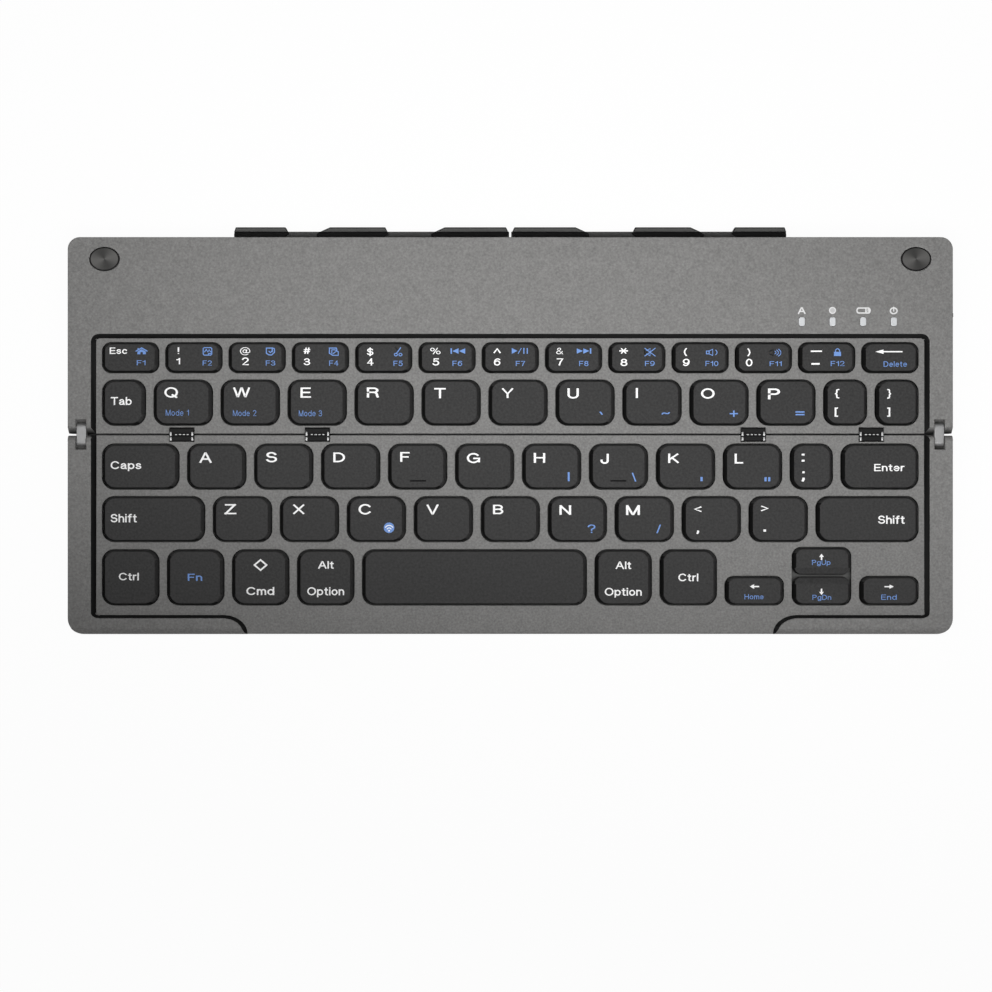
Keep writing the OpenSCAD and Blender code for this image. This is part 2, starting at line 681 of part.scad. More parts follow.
module front_scissors() color([0.85, 0.85, 0.82])
    for (k = KEYS) if (is_front(k)) scissor_pair(k);

module corner_magnets() color([0.75, 0.75, 0.76])
    magnet_places() cylinder(r = magnet_r, h = border_top - 1 - floor_top);

module front_screws() color(steel_grey) screw_set(FRONT_SCREWS, foot_h + 0.1) screw();

module front_feet() color(rubber_black) feet(FRONT_FEET);

module front_hinge_pins() color(steel_grey) pins(-1, pin_r, pin_bite);

// The wire that keeps the space bar level: a long bar with a leg and a foot at each end
wire_r = 0.35;
elbow_r = wire_r + 0.06;
wire_half_w = (space_end - space_x) / 2 - key_gap - key_wall - 2.4;
wire_foot_y = row_5_y + key_gap + key_wall + 0.6;
wire_foot_z = sheet_top + elbow_r + 0.04;
wire_rise = key_travel + 0.3;
wire_bar_z = wire_foot_z + wire_rise;
wire_leg_y = sqrt(wire_leg * wire_leg - wire_rise * wire_rise);
module space_bar_wire() color(steel_grey) translate([(space_x + space_end) / 2, wire_foot_y, 0]) {
    angle = atan2(wire_leg_y, wire_rise);
    translate([0, wire_leg_y, wire_bar_z]) rotate([0, 90, 0])
        cylinder(r = wire_r, h = 2 * wire_half_w, center = true);
    for (x = [-1, 1]) translate([x * wire_half_w, 0, wire_foot_z]) {
        rotate([-angle, 0, 0]) cylinder(r = wire_r, h = wire_leg);
        sphere(elbow_r);
        rotate([0, -x * 90, 0]) cylinder(r = wire_r, h = 2);
    }
    for (x = [-1, 1]) translate([x * wire_half_w, wire_leg_y, wire_bar_z]) sphere(elbow_r);
}

// The stand: two leaves under the rear half, on one rod

module leaf(side) color(case_grey) difference() {
    x0 = side > 0 ? leaf_gap / 2 : -leaf_gap / 2 - leaf_w;
    union() {
        box(x0, x0 + leaf_w, rod_y, rear_y + leaf_out, leaf_z, leaf_z + leaf_t);
        translate([x0, rod_y, rod_z]) rotate([0, 90, 0]) cylinder(r = barrel_r, h = leaf_w);
    }
    translate([x0 - 1, rod_y, rod_z]) rotate([0, 90, 0]) cylinder(r = rod_r + rod_gap, h = leaf_w + 2);
}

module stand_leaf_left() leaf(-1);
module stand_leaf_right() leaf(1);

// Each leaf's grips, as shares of its width: inner end, outer end
GRIP_SPANS = [[0, 0.283], [0.438, 0.7], [0.8, 1]];
grip_taper = 3.9;
grip_nose = 0.9;

// A grip's outline from above, with a short nose at its inner end
module grip_outline(x0, x1, taper, near, far) {
    waist = near + (far - near) * 0.4;
    polygon([[x0 + 2 * grip_nose, near], [x1 - taper * 0.4, near], [x1, near + 0.4], [x1, waist],
        [x1 - taper, far], [x0 + grip_nose, far], [x0, waist]]);
}

// A grip wraps the rear edge of its leaf, with a rib along its far side
module grip(x0, x1, taper) {
    near = rear_y + 0.3;
    far = rear_y + grip_out;
    z = leaf_z - 0.5;
    difference() {
        translate([0, 0, z]) linear_extrude(grip_h) grip_outline(x0, x1, taper, near, far);
        box(x0 - 1, x1 + 1, rod_y, rear_y + leaf_out, leaf_z, leaf_z + leaf_t);
        box(x0 - 1, x1 + 1, near - 1, near + (far - near) * 0.5, z + grip_h * 0.7, z + grip_h + 1);
    }
}

module grips() color(rubber_black) for (i = [0:2]) {
    span = GRIP_SPANS[i];
    grip(leaf_gap / 2 + span[0] * leaf_w, leaf_gap / 2 + span[1] * leaf_w, i < 2 ? grip_taper : 0.6);
}

module stand_grips_right() grips();
module stand_grips_left() mirror([1, 0, 0]) grips();

module stand_rod() color(steel_grey) translate([0, rod_y, rod_z]) rotate([0, 90, 0])
    cylinder(r = rod_r, h = 2 * leaf_room_half_w + 3, center = true);

// Keycaps

// The up and down keys slope towards each other at the line where they meet
meet_length = 2.1;
meet_drop = 0.7;
module meet_slope(side) {
    translate([arrow_x(1) - 1, 0, 0]) rotate([90, 0, 90]) linear_extrude(arrow_w + 2)
        polygon([[arrow_split_y + side * (key_gap + meet_length), cap_top],
            [arrow_split_y + side * (key_gap + meet_length), cap_top + 1],
            [arrow_split_y, cap_top + 1],
            [arrow_split_y, cap_top - meet_drop * (1 + key_gap / meet_length)]]);
}

module keycap(k) {
    w = k[3] - 2 * key_gap;
    d = k[4] - 2 * key_gap;
    r = k[5] - key_gap;
    shoulder = deck_top - 0.3;
    inside_top = cap_top - key_wall;
    translate(concat(key_middle(k), 0)) {
        difference() {
            union() {
                translate([0, 0, key_bottom]) linear_extrude(shoulder - key_bottom) rounded_rect(w, d, r);
                translate([0, 0, shoulder]) tapered(w, d, r, cap_top - shoulder, key_draft);
            }
            translate([0, 0, key_bottom - 1]) linear_extrude(inside_top - key_bottom + 1)
                rounded_rect(w - 2 * key_wall, d - 2 * key_wall, r - key_wall * 0.6);
        }
        translate([0, 0, key_bottom + 0.2]) cylinder(r = plunger_r, h = inside_top - key_bottom - 0.2 + eps);
    }
}

module keycaps(name) color(key_black) for (k = KEYS) if (k[0] == name) keycap(k);

module key_esc() keycaps("key_esc");
module keys_1_to_4() keycaps("keys_1_to_4");
module keys_5_to_8() keycaps("keys_5_to_8");
module keys_9_to_dash() keycaps("keys_9_to_dash");
module key_delete() keycaps("key_delete");
module key_tab() keycaps("key_tab");
module keys_q_to_t() keycaps("keys_q_to_t");
module keys_y_to_p() keycaps("keys_y_to_p");
module keys_brackets() keycaps("keys_brackets");
module key_caps() keycaps("key_caps");
module keys_a_to_g() keycaps("keys_a_to_g");
module keys_h_to_colon() keycaps("keys_h_to_colon");
module key_enter() keycaps("key_enter");
module key_shift_left() keycaps("key_shift_left");
module keys_z_to_b() keycaps("keys_z_to_b");
module keys_n_to_point() keycaps("keys_n_to_point");
module key_shift_right() keycaps("key_shift_right");
module key_ctrl_left() keycaps("key_ctrl_left");
module key_fn() keycaps("key_fn");
module key_cmd() keycaps("key_cmd");
module key_alts() keycaps("key_alts");
module key_space() keycaps("key_space");
module key_ctrl_right() keycaps("key_ctrl_right");
module key_left() keycaps("key_left");
module key_up() color(key_black) difference() {
    keycaps("key_up");
    meet_slope(1);
}
module key_down() color(key_black) difference() {
    keycaps("key_down");
    meet_slope(-1);
}
module key_right() keycaps("key_right");

rear_top_cover();
rear_bottom_cover();
rear_base_plate();
rear_membrane();
rear_dome_sheet();
rear_scissors();
main_board();
battery();
charge_port();
indicator_windows();
corner_discs();
rear_screws();
rear_feet();
rear_hinge_pins();
power_switch();
side_links();
seam_bridges();
front_top_cover();
front_bottom_cover();
front_base_plate();
front_membrane();
front_dome_sheet();
front_scissors();
corner_magnets();
front_screws();
front_feet();
front_hinge_pins();
space_bar_wire();
stand_leaf_left();
stand_leaf_right();
stand_grips_left();
stand_grips_right();
stand_rod();
key_esc();
keys_1_to_4();
keys_5_to_8();
keys_9_to_dash();
key_delete();
key_tab();
keys_q_to_t();
keys_y_to_p();
keys_brackets();
key_caps();
keys_a_to_g();
keys_h_to_colon();
key_enter();
key_shift_left();
keys_z_to_b();
keys_n_to_point();
key_shift_right();
key_ctrl_left();
key_fn();
key_cmd();
key_alts();
key_space();
key_ctrl_right();
key_left();
key_up();
key_down();
key_right();
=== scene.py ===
import math

import bmesh
import bpy
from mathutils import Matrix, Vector


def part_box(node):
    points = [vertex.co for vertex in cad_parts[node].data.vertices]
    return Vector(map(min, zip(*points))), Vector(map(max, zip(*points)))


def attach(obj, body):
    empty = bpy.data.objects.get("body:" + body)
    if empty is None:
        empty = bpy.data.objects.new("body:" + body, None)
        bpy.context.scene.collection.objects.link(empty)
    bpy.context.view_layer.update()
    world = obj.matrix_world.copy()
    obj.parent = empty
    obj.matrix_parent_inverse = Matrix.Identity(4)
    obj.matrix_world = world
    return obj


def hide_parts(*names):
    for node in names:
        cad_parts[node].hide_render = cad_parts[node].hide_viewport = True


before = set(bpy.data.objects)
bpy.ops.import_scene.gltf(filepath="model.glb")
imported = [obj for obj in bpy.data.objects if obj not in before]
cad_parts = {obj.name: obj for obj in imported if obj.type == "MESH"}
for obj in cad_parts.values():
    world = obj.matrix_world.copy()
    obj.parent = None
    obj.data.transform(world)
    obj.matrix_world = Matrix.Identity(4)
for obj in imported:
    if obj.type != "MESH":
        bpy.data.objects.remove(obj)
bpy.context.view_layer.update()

mm = 0.001
scene = bpy.context.scene
scene.view_settings.view_transform = "Standard"

# The photograph is taken from straight above the middle of the board
view = {"x": -4.04, "y": -17.42, "height": 600, "across": 281.5, "sensor": 36}
light = {
    "lampAt": (10, -20, 200), "lampAim": (72, 345, 0), "lampSize": (345, 152), "lampWatts": 0.86,
    "fillAt": (0, -320, 480), "fillAim": (0, 0, 0), "fillSize": (400, 400), "fillWatts": 0.33,
    "world": 0.045, "floorWhite": 0.97,
}
heights = {
    "deck": 5.2, "keyTop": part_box("key_caps")[1].z / mm, "border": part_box("rear_top_cover")[1].z / mm,
}


def aim(obj, target):
    obj.rotation_euler = (Vector(target) * mm - obj.location).to_track_quat("-Z", "Y").to_euler()


def lamp(name, place, target, size, watts):
    data = bpy.data.lights.new(name, "AREA")
    data.shape = "RECTANGLE"
    data.size, data.size_y = size[0] * mm, size[1] * mm
    data.energy = watts
    obj = bpy.data.objects.new(name, data)
    scene.collection.objects.link(obj)
    obj.location = Vector(place) * mm
    obj.visible_camera = False
    aim(obj, target)


camera = bpy.data.objects.new("camera", bpy.data.cameras.new("camera"))
scene.collection.objects.link(camera)
camera.location = Vector((view["x"], view["y"], heights["deck"] + view["height"])) * mm
camera.data.sensor_width = view["sensor"]
camera.data.lens = view["sensor"] * view["height"] / view["across"]
camera.data.clip_start = 0.01
scene.camera = camera
lamp("windowLamp", light["lampAt"], light["lampAim"], light["lampSize"], light["lampWatts"])
lamp("roomLamp", light["fillAt"], light["fillAim"], light["fillSize"], light["fillWatts"])
print("camera and lamps are set")


# Materials: small helpers, then one finish at a time

def newMaterial(name):
    material = bpy.data.materials.new(name)
    material.use_nodes = True
    nodes = material.node_tree.nodes
    nodes.clear()
    out = nodes.new("ShaderNodeOutputMaterial")
    shader = nodes.new("ShaderNodeBsdfPrincipled")
    material.node_tree.links.new(shader.outputs["BSDF"], out.inputs["Surface"])
    return material, shader, nodes, material.node_tree.links.new


def place(nodes, kind, link=None, settings=None, **inputs):
    node = nodes.new(kind)
    for key, value in (settings or {}).items():
        setattr(node, key, value)
    for key, value in inputs.items():
        name = key.replace("_", " ")
        socket = node.inputs[int(key[1:])] if key[1:].isdigit() else node.inputs[name]
        if isinstance(value, bpy.types.NodeSocket):
            link(value, socket)
        else:
            socket.default_value = value
    return node


def newGroup(name, takes, gives):
    tree = bpy.data.node_groups.new(name, "ShaderNodeTree")
    for label, kind, value in takes:
        socket = tree.interface.new_socket(label, in_out="INPUT", socket_type=kind)
        socket.default_value = value
    for label, kind in gives:
        tree.interface.new_socket(label, in_out="OUTPUT", socket_type=kind)
    return tree, tree.nodes.new("NodeGroupInput"), tree.nodes.new("NodeGroupOutput"), tree.links.new


colourSocket, valueSocket = "NodeSocketColor", "NodeSocketFloat"


# Grain: fine speckle and slow cloud over a colour, with a height for a bump
grain, takes, gives, join = newGroup(
    "grain",
    [("Colour", colourSocket, (0.2, 0.2, 0.2, 1)), ("Fleck Size", valueSocket, 2500.0),
     ("Fleck Amount", valueSocket, 0.1), ("Cloud Size", valueSocket, 120.0),
     ("Cloud Amount", valueSocket, 0.05)],
    [("Colour", colourSocket), ("Height", valueSocket)])
where = place(grain.nodes, "ShaderNodeTexCoord").outputs["Object"]
fleck = place(grain.nodes, "ShaderNodeTexNoise", join, Vector=where, Scale=takes.outputs["Fleck Size"],
              Detail=3.0, Roughness=0.6).outputs["Fac"]
cloud = place(grain.nodes, "ShaderNodeTexNoise", join, Vector=where, Scale=takes.outputs["Cloud Size"],
              Detail=4.0, Roughness=0.6).outputs["Fac"]
fleckOff = place(grain.nodes, "ShaderNodeMath", join, {"operation": "SUBTRACT"}, i0=fleck, i1=0.5)
cloudOff = place(grain.nodes, "ShaderNodeMath", join, {"operation": "SUBTRACT"}, i0=cloud, i1=0.5)
fleckPart = place(grain.nodes, "ShaderNodeMath", join, {"operation": "MULTIPLY"},
                  i0=fleckOff.outputs[0], i1=takes.outputs["Fleck Amount"])
cloudPart = place(grain.nodes, "ShaderNodeMath", join, {"operation": "MULTIPLY"},
                  i0=cloudOff.outputs[0], i1=takes.outputs["Cloud Amount"])
shift = place(grain.nodes, "ShaderNodeMath", join, {"operation": "ADD"},
              i0=fleckPart.outputs[0], i1=cloudPart.outputs[0])
gain = place(grain.nodes, "ShaderNodeMath", join, {"operation": "ADD"}, i0=shift.outputs[0], i1=1.0)
tinted = place(grain.nodes, "ShaderNodeVectorMath", join, {"operation": "SCALE"},
               i0=takes.outputs["Colour"], Scale=gain.outputs[0])
join(tinted.outputs[0], gives.inputs["Colour"])
join(fleck, gives.inputs["Height"])


# A finish made from the grain group. A fade paints shade on it, darker from one height down to another
def grainFinish(name, colour, roughness, fleckSize, fleckAmount, cloudSize, cloudAmount, depth,
                metallic=0.0, specular=0.5, shadeFade=None):
    material, shader, nodes, link = newMaterial(name)
    made = nodes.new("ShaderNodeGroup")
    made.node_tree = grain
    values = {"Colour": (*colour, 1), "Fleck Size": fleckSize, "Fleck Amount": fleckAmount,
              "Cloud Size": cloudSize, "Cloud Amount": cloudAmount}
    for key, value in values.items():
        made.inputs[key].default_value = value
    tone = made.outputs["Colour"]
    if shadeFade:
        where = place(nodes, "ShaderNodeTexCoord").outputs["Object"]
        level = place(nodes, "ShaderNodeSeparateXYZ", link, Vector=where).outputs["Z"]
        share = place(nodes, "ShaderNodeMapRange", link, Value=level, i1=shadeFade[0] * mm, i2=shadeFade[1] * mm,
                      i3=shadeFade[2], i4=1.0).outputs["Result"]
        tone = place(nodes, "ShaderNodeVectorMath", link, {"operation": "SCALE"}, i0=tone,
                     Scale=share).outputs[0]
    link(tone, shader.inputs["Base Color"])
    bump = place(nodes, "ShaderNodeBump", link, Height=made.outputs["Height"], Distance=depth * mm,
                 Strength=1.0)
    link(bump.outputs["Normal"], shader.inputs["Normal"])
    shader.inputs["Roughness"].default_value = roughness
    shader.inputs["Metallic"].default_value = metallic
    shader.inputs["Specular IOR Level"].default_value = specular
    return material


finishes = {
    # colour, roughness, fleck size, fleck amount, cloud size, cloud amount, fleck depth, metallic,
    # specular, and a fade of painted shade where a finish darkens with depth: from, to, share left
    "casePaint": ((0.183, 0.181, 0.177), 0.6, 1700, 1.15, 260, 0.3, 0.014, 0.0, 0.3),
    # Near-black on the recess walls and key-opening walls, with painted shade that darkens it further
    # towards the bottom; in the key openings the black is painted shade
    "wallPaint": ((0.013, 0.013, 0.013), 0.55, 2600, 0.3, 160, 0.1, 0.01, 0.0, 0.05, (5.1, 7.4, 0.2)),
    # Painted shade: the case colour darkened down the rounded ends of the border strips at the fold
    "endPaint": ((0.183, 0.181, 0.177), 0.55, 1700, 1.15, 260, 0.3, 0.014, 0.0, 0.3, (5.4, 7.3, 0.08)),
    "undersidePaint": ((0.045, 0.045, 0.045), 0.6, 2200, 0.3, 160, 0.1, 0.02, 0.0, 0.3),
    "keyPlastic": ((0.0245, 0.0242, 0.0242), 0.62, 1500, 1.7, 220, 0.15, 0.012, 0.0, 0.2),
    # Painted shade on the keys' left and front sides, and on the home bars
    "keySide": ((0.006, 0.006, 0.006), 0.6, 3200, 0.3, 220, 0.1, 0.01, 0.0, 0.05),
    "linkMetal": ((0.225, 0.225, 0.225), 0.45, 3000, 0.2, 200, 0.05, 0.004, 0.3, 0.5),
    # Pale metal for the bridge posts, and for the pins on the fold that stand in for glints as painted
    # highlight
    "pinMetal": ((0.3, 0.3, 0.3), 0.4, 3000, 0.2, 200, 0.05, 0.004, 0.5, 0.5),
    "bridgeRubber": ((0.006, 0.006, 0.006), 0.6, 2500, 0.3, 200, 0.1, 0.02, 0.0, 0.1),
    "gripRubber": ((0.008, 0.008, 0.008), 0.6, 2500, 0.3, 200, 0.1, 0.02, 0.0, 0.12),
    # Painted light: the paler top of each grip's raised rib
    "gripPad": ((0.075, 0.075, 0.073), 0.7, 2500, 0.4, 200, 0.1, 0.02, 0.0, 0.25),
    # The stand leaves' grey, darkened by painted shade
    "leafPaint": ((0.085, 0.085, 0.083), 0.55, 1900, 0.6, 160, 0.12, 0.012, 0.0, 0.35),
    "footRubber": ((0.014, 0.014, 0.014), 0.8, 2000, 0.3, 200, 0.1, 0.02, 0.0, 0.2),
    "steelMetal": ((0.55, 0.55, 0.56), 0.32, 3000, 0.12, 200, 0.05, 0.002, 1.0, 0.5),
    "windowLens": ((0.6, 0.615, 0.63), 0.3, 2500, 0.06, 200, 0.04, 0.001, 0.0, 0.4),
    "whiteInk": ((1.0, 1.0, 1.0), 0.6, 3000, 0.04, 200, 0.02, 0.002, 0.0, 0.3),
    "blueInk": ((0.16, 0.3, 0.66), 0.6, 3000, 0.04, 200, 0.02, 0.002, 0.0, 0.3),
    "panelInk": ((0.7, 0.7, 0.7), 0.6, 3000, 0.06, 200, 0.04, 0.002, 0.0, 0.3),
    "badgeInk": ((0.52, 0.52, 0.52), 0.6, 3000, 0.06, 200, 0.04, 0.002, 0.0, 0.3),
    "knobPlastic": ((0.014, 0.014, 0.014), 0.5, 2500, 0.2, 200, 0.1, 0.01, 0.0, 0.3),
    "filmPlastic": ((0.02, 0.022, 0.02), 0.4, 2500, 0.1, 200, 0.1, 0.002, 0.0, 0.5),
    "domeSilicone": ((0.04, 0.04, 0.038), 0.5, 2500, 0.1, 200, 0.1, 0.004, 0.0, 0.4),
    "leverPlastic": ((0.03, 0.03, 0.03), 0.5, 2500, 0.1, 200, 0.1, 0.004, 0.0, 0.4),
    "boardLaminate": ((0.01, 0.1, 0.04), 0.4, 1500, 0.3, 200, 0.2, 0.01, 0.0, 0.5),
    "batteryFoil": ((0.5, 0.52, 0.55), 0.35, 1500, 0.1, 100, 0.2, 0.02, 0.6, 0.5),
    "magnetNickel": ((0.6, 0.6, 0.62), 0.25, 2500, 0.1, 200, 0.05, 0.002, 1.0, 0.5),
}
paint = {name: grainFinish(name, *values) for name, values in finishes.items()}


# Spun steel: fine rings round the middle of each disc, a painted sheen in its colour, and a black edge of
# painted shade
def spunFinishWithPaintedSheen(name, centre, radii):
    tune = {"colour": (0.062, 0.061, 0.059), "rings": 13.0, "ringDepth": 0.004, "rough": 0.42,
            "edge": 0.87, "edgeEnd": 0.92, "edgeTone": 0.05, "sheen": 0.45, "sheenTurn": -0.6,
            "noise": 900.0, "bump": 0.6, "fine": 0.12, "metallic": 0.35, "specular": 0.15}
    material, shader, nodes, link = newMaterial(name)
    where = place(nodes, "ShaderNodeTexCoord").outputs["Object"]
    local = place(nodes, "ShaderNodeVectorMath", link, {"operation": "SUBTRACT"},
                  i0=where, i1=Vector((*centre, 0)) * mm)
    scaled = place(nodes, "ShaderNodeVectorMath", link, {"operation": "MULTIPLY"}, i0=local.outputs[0],
                   i1=(1 / (radii[0] * mm), 1 / (radii[1] * mm), 0))
    far = place(nodes, "ShaderNodeVectorMath", link, {"operation": "LENGTH"}, i0=scaled.outputs[0])
    wave = place(nodes, "ShaderNodeMath", link, {"operation": "MULTIPLY"},
                 i0=far.outputs["Value"], i1=tune["rings"] * math.tau)
    ring = place(nodes, "ShaderNodeMath", link, {"operation": "SINE"}, i0=wave.outputs[0])
    noise = place(nodes, "ShaderNodeTexNoise", link, Vector=where, Scale=tune["noise"], Detail=2.0)
    mixed = place(nodes, "ShaderNodeMath", link, {"operation": "ADD"}, i0=ring.outputs[0],
                  i1=noise.outputs["Fac"])
    bump = place(nodes, "ShaderNodeBump", link, Height=mixed.outputs[0], Distance=tune["ringDepth"] * mm,
                 Strength=tune["bump"])
    link(bump.outputs["Normal"], shader.inputs["Normal"])
    # Painted sheen: the colour is lighter in two opposite sectors, as turned metal catches a lamp
    parts = place(nodes, "ShaderNodeSeparateXYZ", link, Vector=scaled.outputs[0])
    turn = place(nodes, "ShaderNodeMath", link, {"operation": "ARCTAN2"}, i0=parts.outputs["Y"],
                 i1=parts.outputs["X"])
    twice = place(nodes, "ShaderNodeMath", link, {"operation": "MULTIPLY_ADD"}, i0=turn.outputs[0],
                  i1=2.0, i2=tune["sheenTurn"])
    fan = place(nodes, "ShaderNodeMath", link, {"operation": "COSINE"}, i0=twice.outputs[0])
    sheen = place(nodes, "ShaderNodeMath", link, {"operation": "MULTIPLY_ADD"}, i0=fan.outputs[0],
                  i1=tune["sheen"], i2=1.0)
    # Painted sheen: the fine rings also lighten and darken the colour
    fine = place(nodes, "ShaderNodeMath", link, {"operation": "MULTIPLY_ADD"}, i0=ring.outputs[0],
                 i1=tune["fine"], i2=sheen.outputs[0])
    # Painted shade: the colour falls to near-black round the disc's edge
    edge = place(nodes, "ShaderNodeMapRange", link, Value=far.outputs["Value"], i1=tune["edge"],
                 i2=tune["edgeEnd"], i3=1.0, i4=tune["edgeTone"])
    both = place(nodes, "ShaderNodeMath", link, {"operation": "MULTIPLY"}, i0=edge.outputs["Result"],
                 i1=fine.outputs[0])
    tone = place(nodes, "ShaderNodeVectorMath", link, {"operation": "SCALE"}, i0=tune["colour"],
                 Scale=both.outputs[0])
    link(tone.outputs[0], shader.inputs["Base Color"])
    shader.inputs["Metallic"].default_value = tune["metallic"]
    shader.inputs["Roughness"].default_value = tune["rough"]
    shader.inputs["Specular IOR Level"].default_value = tune["specular"]
    return material


# The floor and the background are white to the camera, and the floor keeps a faint shadow
def whiteToCamera(nodes, link):
    path = place(nodes, "ShaderNodeLightPath")
    seen = place(nodes, "ShaderNodeMath", link, {"operation": "MAXIMUM"},
                 i0=path.outputs["Is Camera Ray"], i1=path.outputs["Is Glossy Ray"])
    seen = place(nodes, "ShaderNodeMath", link, {"operation": "MAXIMUM"},
                 i0=seen.outputs[0], i1=path.outputs["Is Transmission Ray"])
    return seen.outputs[0]


world = bpy.data.worlds.new("studio")
scene.world = world
world.use_nodes = True
nodes, link = world.node_tree.nodes, world.node_tree.links.new
nodes.clear()
soft = place(nodes, "ShaderNodeBackground", Color=(1, 1, 1, 1), Strength=light["world"])
white = place(nodes, "ShaderNodeBackground", Color=(1, 1, 1, 1), Strength=1.0)
choice = place(nodes, "ShaderNodeMixShader", link, i0=whiteToCamera(nodes, link),
               i1=soft.outputs[0], i2=white.outputs[0])
link(choice.outputs[0], nodes.new("ShaderNodeOutputWorld").inputs["Surface"])

floorPaint = bpy.data.materials.new("floorPaint")
floorPaint.use_nodes = True
nodes, link = floorPaint.node_tree.nodes, floorPaint.node_tree.links.new
nodes.clear()
matt = place(nodes, "ShaderNodeBsdfDiffuse", Color=(0.86, 0.86, 0.86, 1))
glow = place(nodes, "ShaderNodeEmission", Color=(1, 1, 1, 1), Strength=1.0)
share = place(nodes, "ShaderNodeMath", link, {"operation": "MULTIPLY"},
              i0=whiteToCamera(nodes, link), i1=light["floorWhite"])
blend = place(nodes, "ShaderNodeMixShader", link, i0=share.outputs[0], i1=matt.outputs[0],
              i2=glow.outputs[0])
link(blend.outputs[0], nodes.new("ShaderNodeOutputMaterial").inputs["Surface"])

floorMesh = bmesh.new()
bmesh.ops.create_grid(floorMesh, x_segments=4, y_segments=4, size=3.0)
floorData = bpy.data.meshes.new("floor")
floorMesh.to_mesh(floorData)
floorData.materials.append(floorPaint)
floor = bpy.data.objects.new("floor", floorData)
scene.collection.objects.link(floor)
print("materials, floor and background are ready")


# Pieces. Faces merge below the first angle, and their edges are rounded or crisp above the others
degrees = {"merge": 0.5, "round": 35, "crisp": 40}


def finishMesh(bm, name, body, materials, replaced=()):
    bmesh.ops.recalc_face_normals(bm, faces=bm.faces)
    mesh = bpy.data.meshes.new(name)
    bm.to_mesh(mesh)
    bm.free()
    for material in materials:
        mesh.materials.append(paint[material] if isinstance(material, str) else material)
    mesh.shade_smooth()
    obj = bpy.data.objects.new(name, mesh)
    scene.collection.objects.link(obj)
    weighted = obj.modifiers.new("evenShading", "WEIGHTED_NORMAL")
    weighted.keep_sharp = True
    mesh.set_sharp_from_angle(angle=math.radians(degrees["crisp"]))
    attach(obj, body)
    if replaced:
        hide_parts(*replaced)
    return obj


# The CAD node's shape as an editable mesh, with its flat faces merged
def shapeOf(node):
    bm = bmesh.new()
    bm.from_mesh(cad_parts[node].data)
    bmesh.ops.remove_doubles(bm, verts=bm.verts, dist=1e-6)
    bmesh.ops.dissolve_limit(bm, angle_limit=math.radians(degrees["merge"]), verts=bm.verts, edges=bm.edges)
    for face in bm.faces:
        face.material_index = 0
    return bm


# Rounds the sharp outer edges that the test picks, by a radius in mm
def soften(bm, radius, steps, picked=lambda ends: True, material=-1):
    edges = [e for e in bm.edges if e.is_manifold and e.is_convex
             and e.calc_face_angle(0) > math.radians(degrees["round"])
             and picked([v.co / mm for v in e.verts])]
    bmesh.ops.bevel(bm, geom=edges, offset=radius * mm, segments=steps, profile=0.5,
                    affect="EDGES", clamp_overlap=False, material=material)


# Covers: the deck, its openings and the border
covers = {
    "edge": 0.22, "openingEdge": 0.08, "steps": 3, "tray": 117.4, "wallEnd": 118.9, "trayRear": 27.2,
    "trayFront": -51.1, "foldEnd": 2.2, "sink": 0.015, "margin": 0.2, "upright": 0.2, "level": 0.98,
    "facing": -0.05,
}


def makeCover(node, name, body):
    bm = shapeOf(node)
    deck, border = heights["deck"], heights["border"] - covers["sink"]  # ink lies on top, within the height
    for vert in bm.verts:
        vert.co.z = min(vert.co.z, border * mm)
    for face in bm.faces:
        lean = abs(face.normal.z)
        middle = face.calc_center_median() / mm
        across, sloping = abs(middle.x), covers["upright"] < lean < covers["level"]
        rim = middle.z > deck + covers["margin"] and across < covers["wallEnd"]
        if middle.y < covers["trayFront"]:
            wall = rim and face.normal.y > covers["facing"] and lean < covers["level"]
        else:
            wall = rim and sloping and (across > covers["tray"] or middle.y > covers["trayRear"])
        opening = (lean < covers["upright"] and middle.z < deck
                   and across < covers["tray"] + covers["margin"]
                   and covers["trayFront"] < middle.y < covers["trayRear"])
        # Recess walls and key-opening walls take the near-black finish with its painted shade
        if wall or opening:
            face.material_index = 1
        # The border strips' rounded ends at the fold take painted shade
        if sloping and across > covers["tray"] and 0 < middle.y < covers["foldEnd"]:
            face.material_index = 2
    soften(bm, covers["openingEdge"], 2, lambda ends: all(abs(v.z - deck) < 0.01 for v in ends), 0)
    soften(bm, covers["edge"], covers["steps"], lambda ends: all(v.z > border - 0.01 for v in ends), 0)
    finishMesh(bm, name, body, ["casePaint", "wallPaint", "endPaint"], [node])


makeCover("rear_top_cover", "rearCover", "rear_half")
makeCover("front_top_cover", "frontCover", "front_half")
print("covers are dressed")


# Keycaps: flat tops with a fine edge, over leaning sides; the left and front sides are painted dark as
# painted shade
keys = {"edge": 0.15, "steps": 3, "lean": 0.45, "level": 0.98, "slope": 0.8, "aside": 0.5}
for node in [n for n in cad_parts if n.startswith("key")]:
    bm = shapeOf(node)
    top = heights["keyTop"]
    for face in bm.faces:
        upper = max(v.co.z for v in face.verts) / mm > top - 0.01
        if face.normal.z > keys["level"] and upper:
            middle = face.calc_center_median()
            for vert in face.verts:
                vert.co.x -= math.copysign(keys["lean"] * mm, vert.co.x - middle.x)
        # Left and front sides take painted shade; right and rear sides keep the key's plastic
        elif face.normal.z < keys["slope"] and max(face.normal.x, face.normal.y) < keys["aside"]:
            face.material_index = 1
    soften(bm, keys["edge"], keys["steps"], lambda ends: all(v.z > top - 0.01 for v in ends), 0)
    finishMesh(bm, node.replace("_", "") + "Cap", node + "_body", ["keyPlastic", "keySide"],
               [node])
print("keycaps are dressed")


# Ink: plain stroke letters and small signs, each fitted to its place on a key. An arc has a point
# for each 20 degrees, unless its steps are counted
def arc(cx, cy, rx, ry, start=0, end=360, count=0):
    count = count or max(4, round(abs(end - start) / 20))
    turns = [math.radians(start + (end - start) * i / count) for i in range(count + 1)]
    return [(cx + rx * math.cos(a), cy + ry * math.sin(a)) for a in turns]


def block(x0, y0, x1, y1):
    return [(x0, y0), (x1, y0), (x1, y1), (x0, y1)]


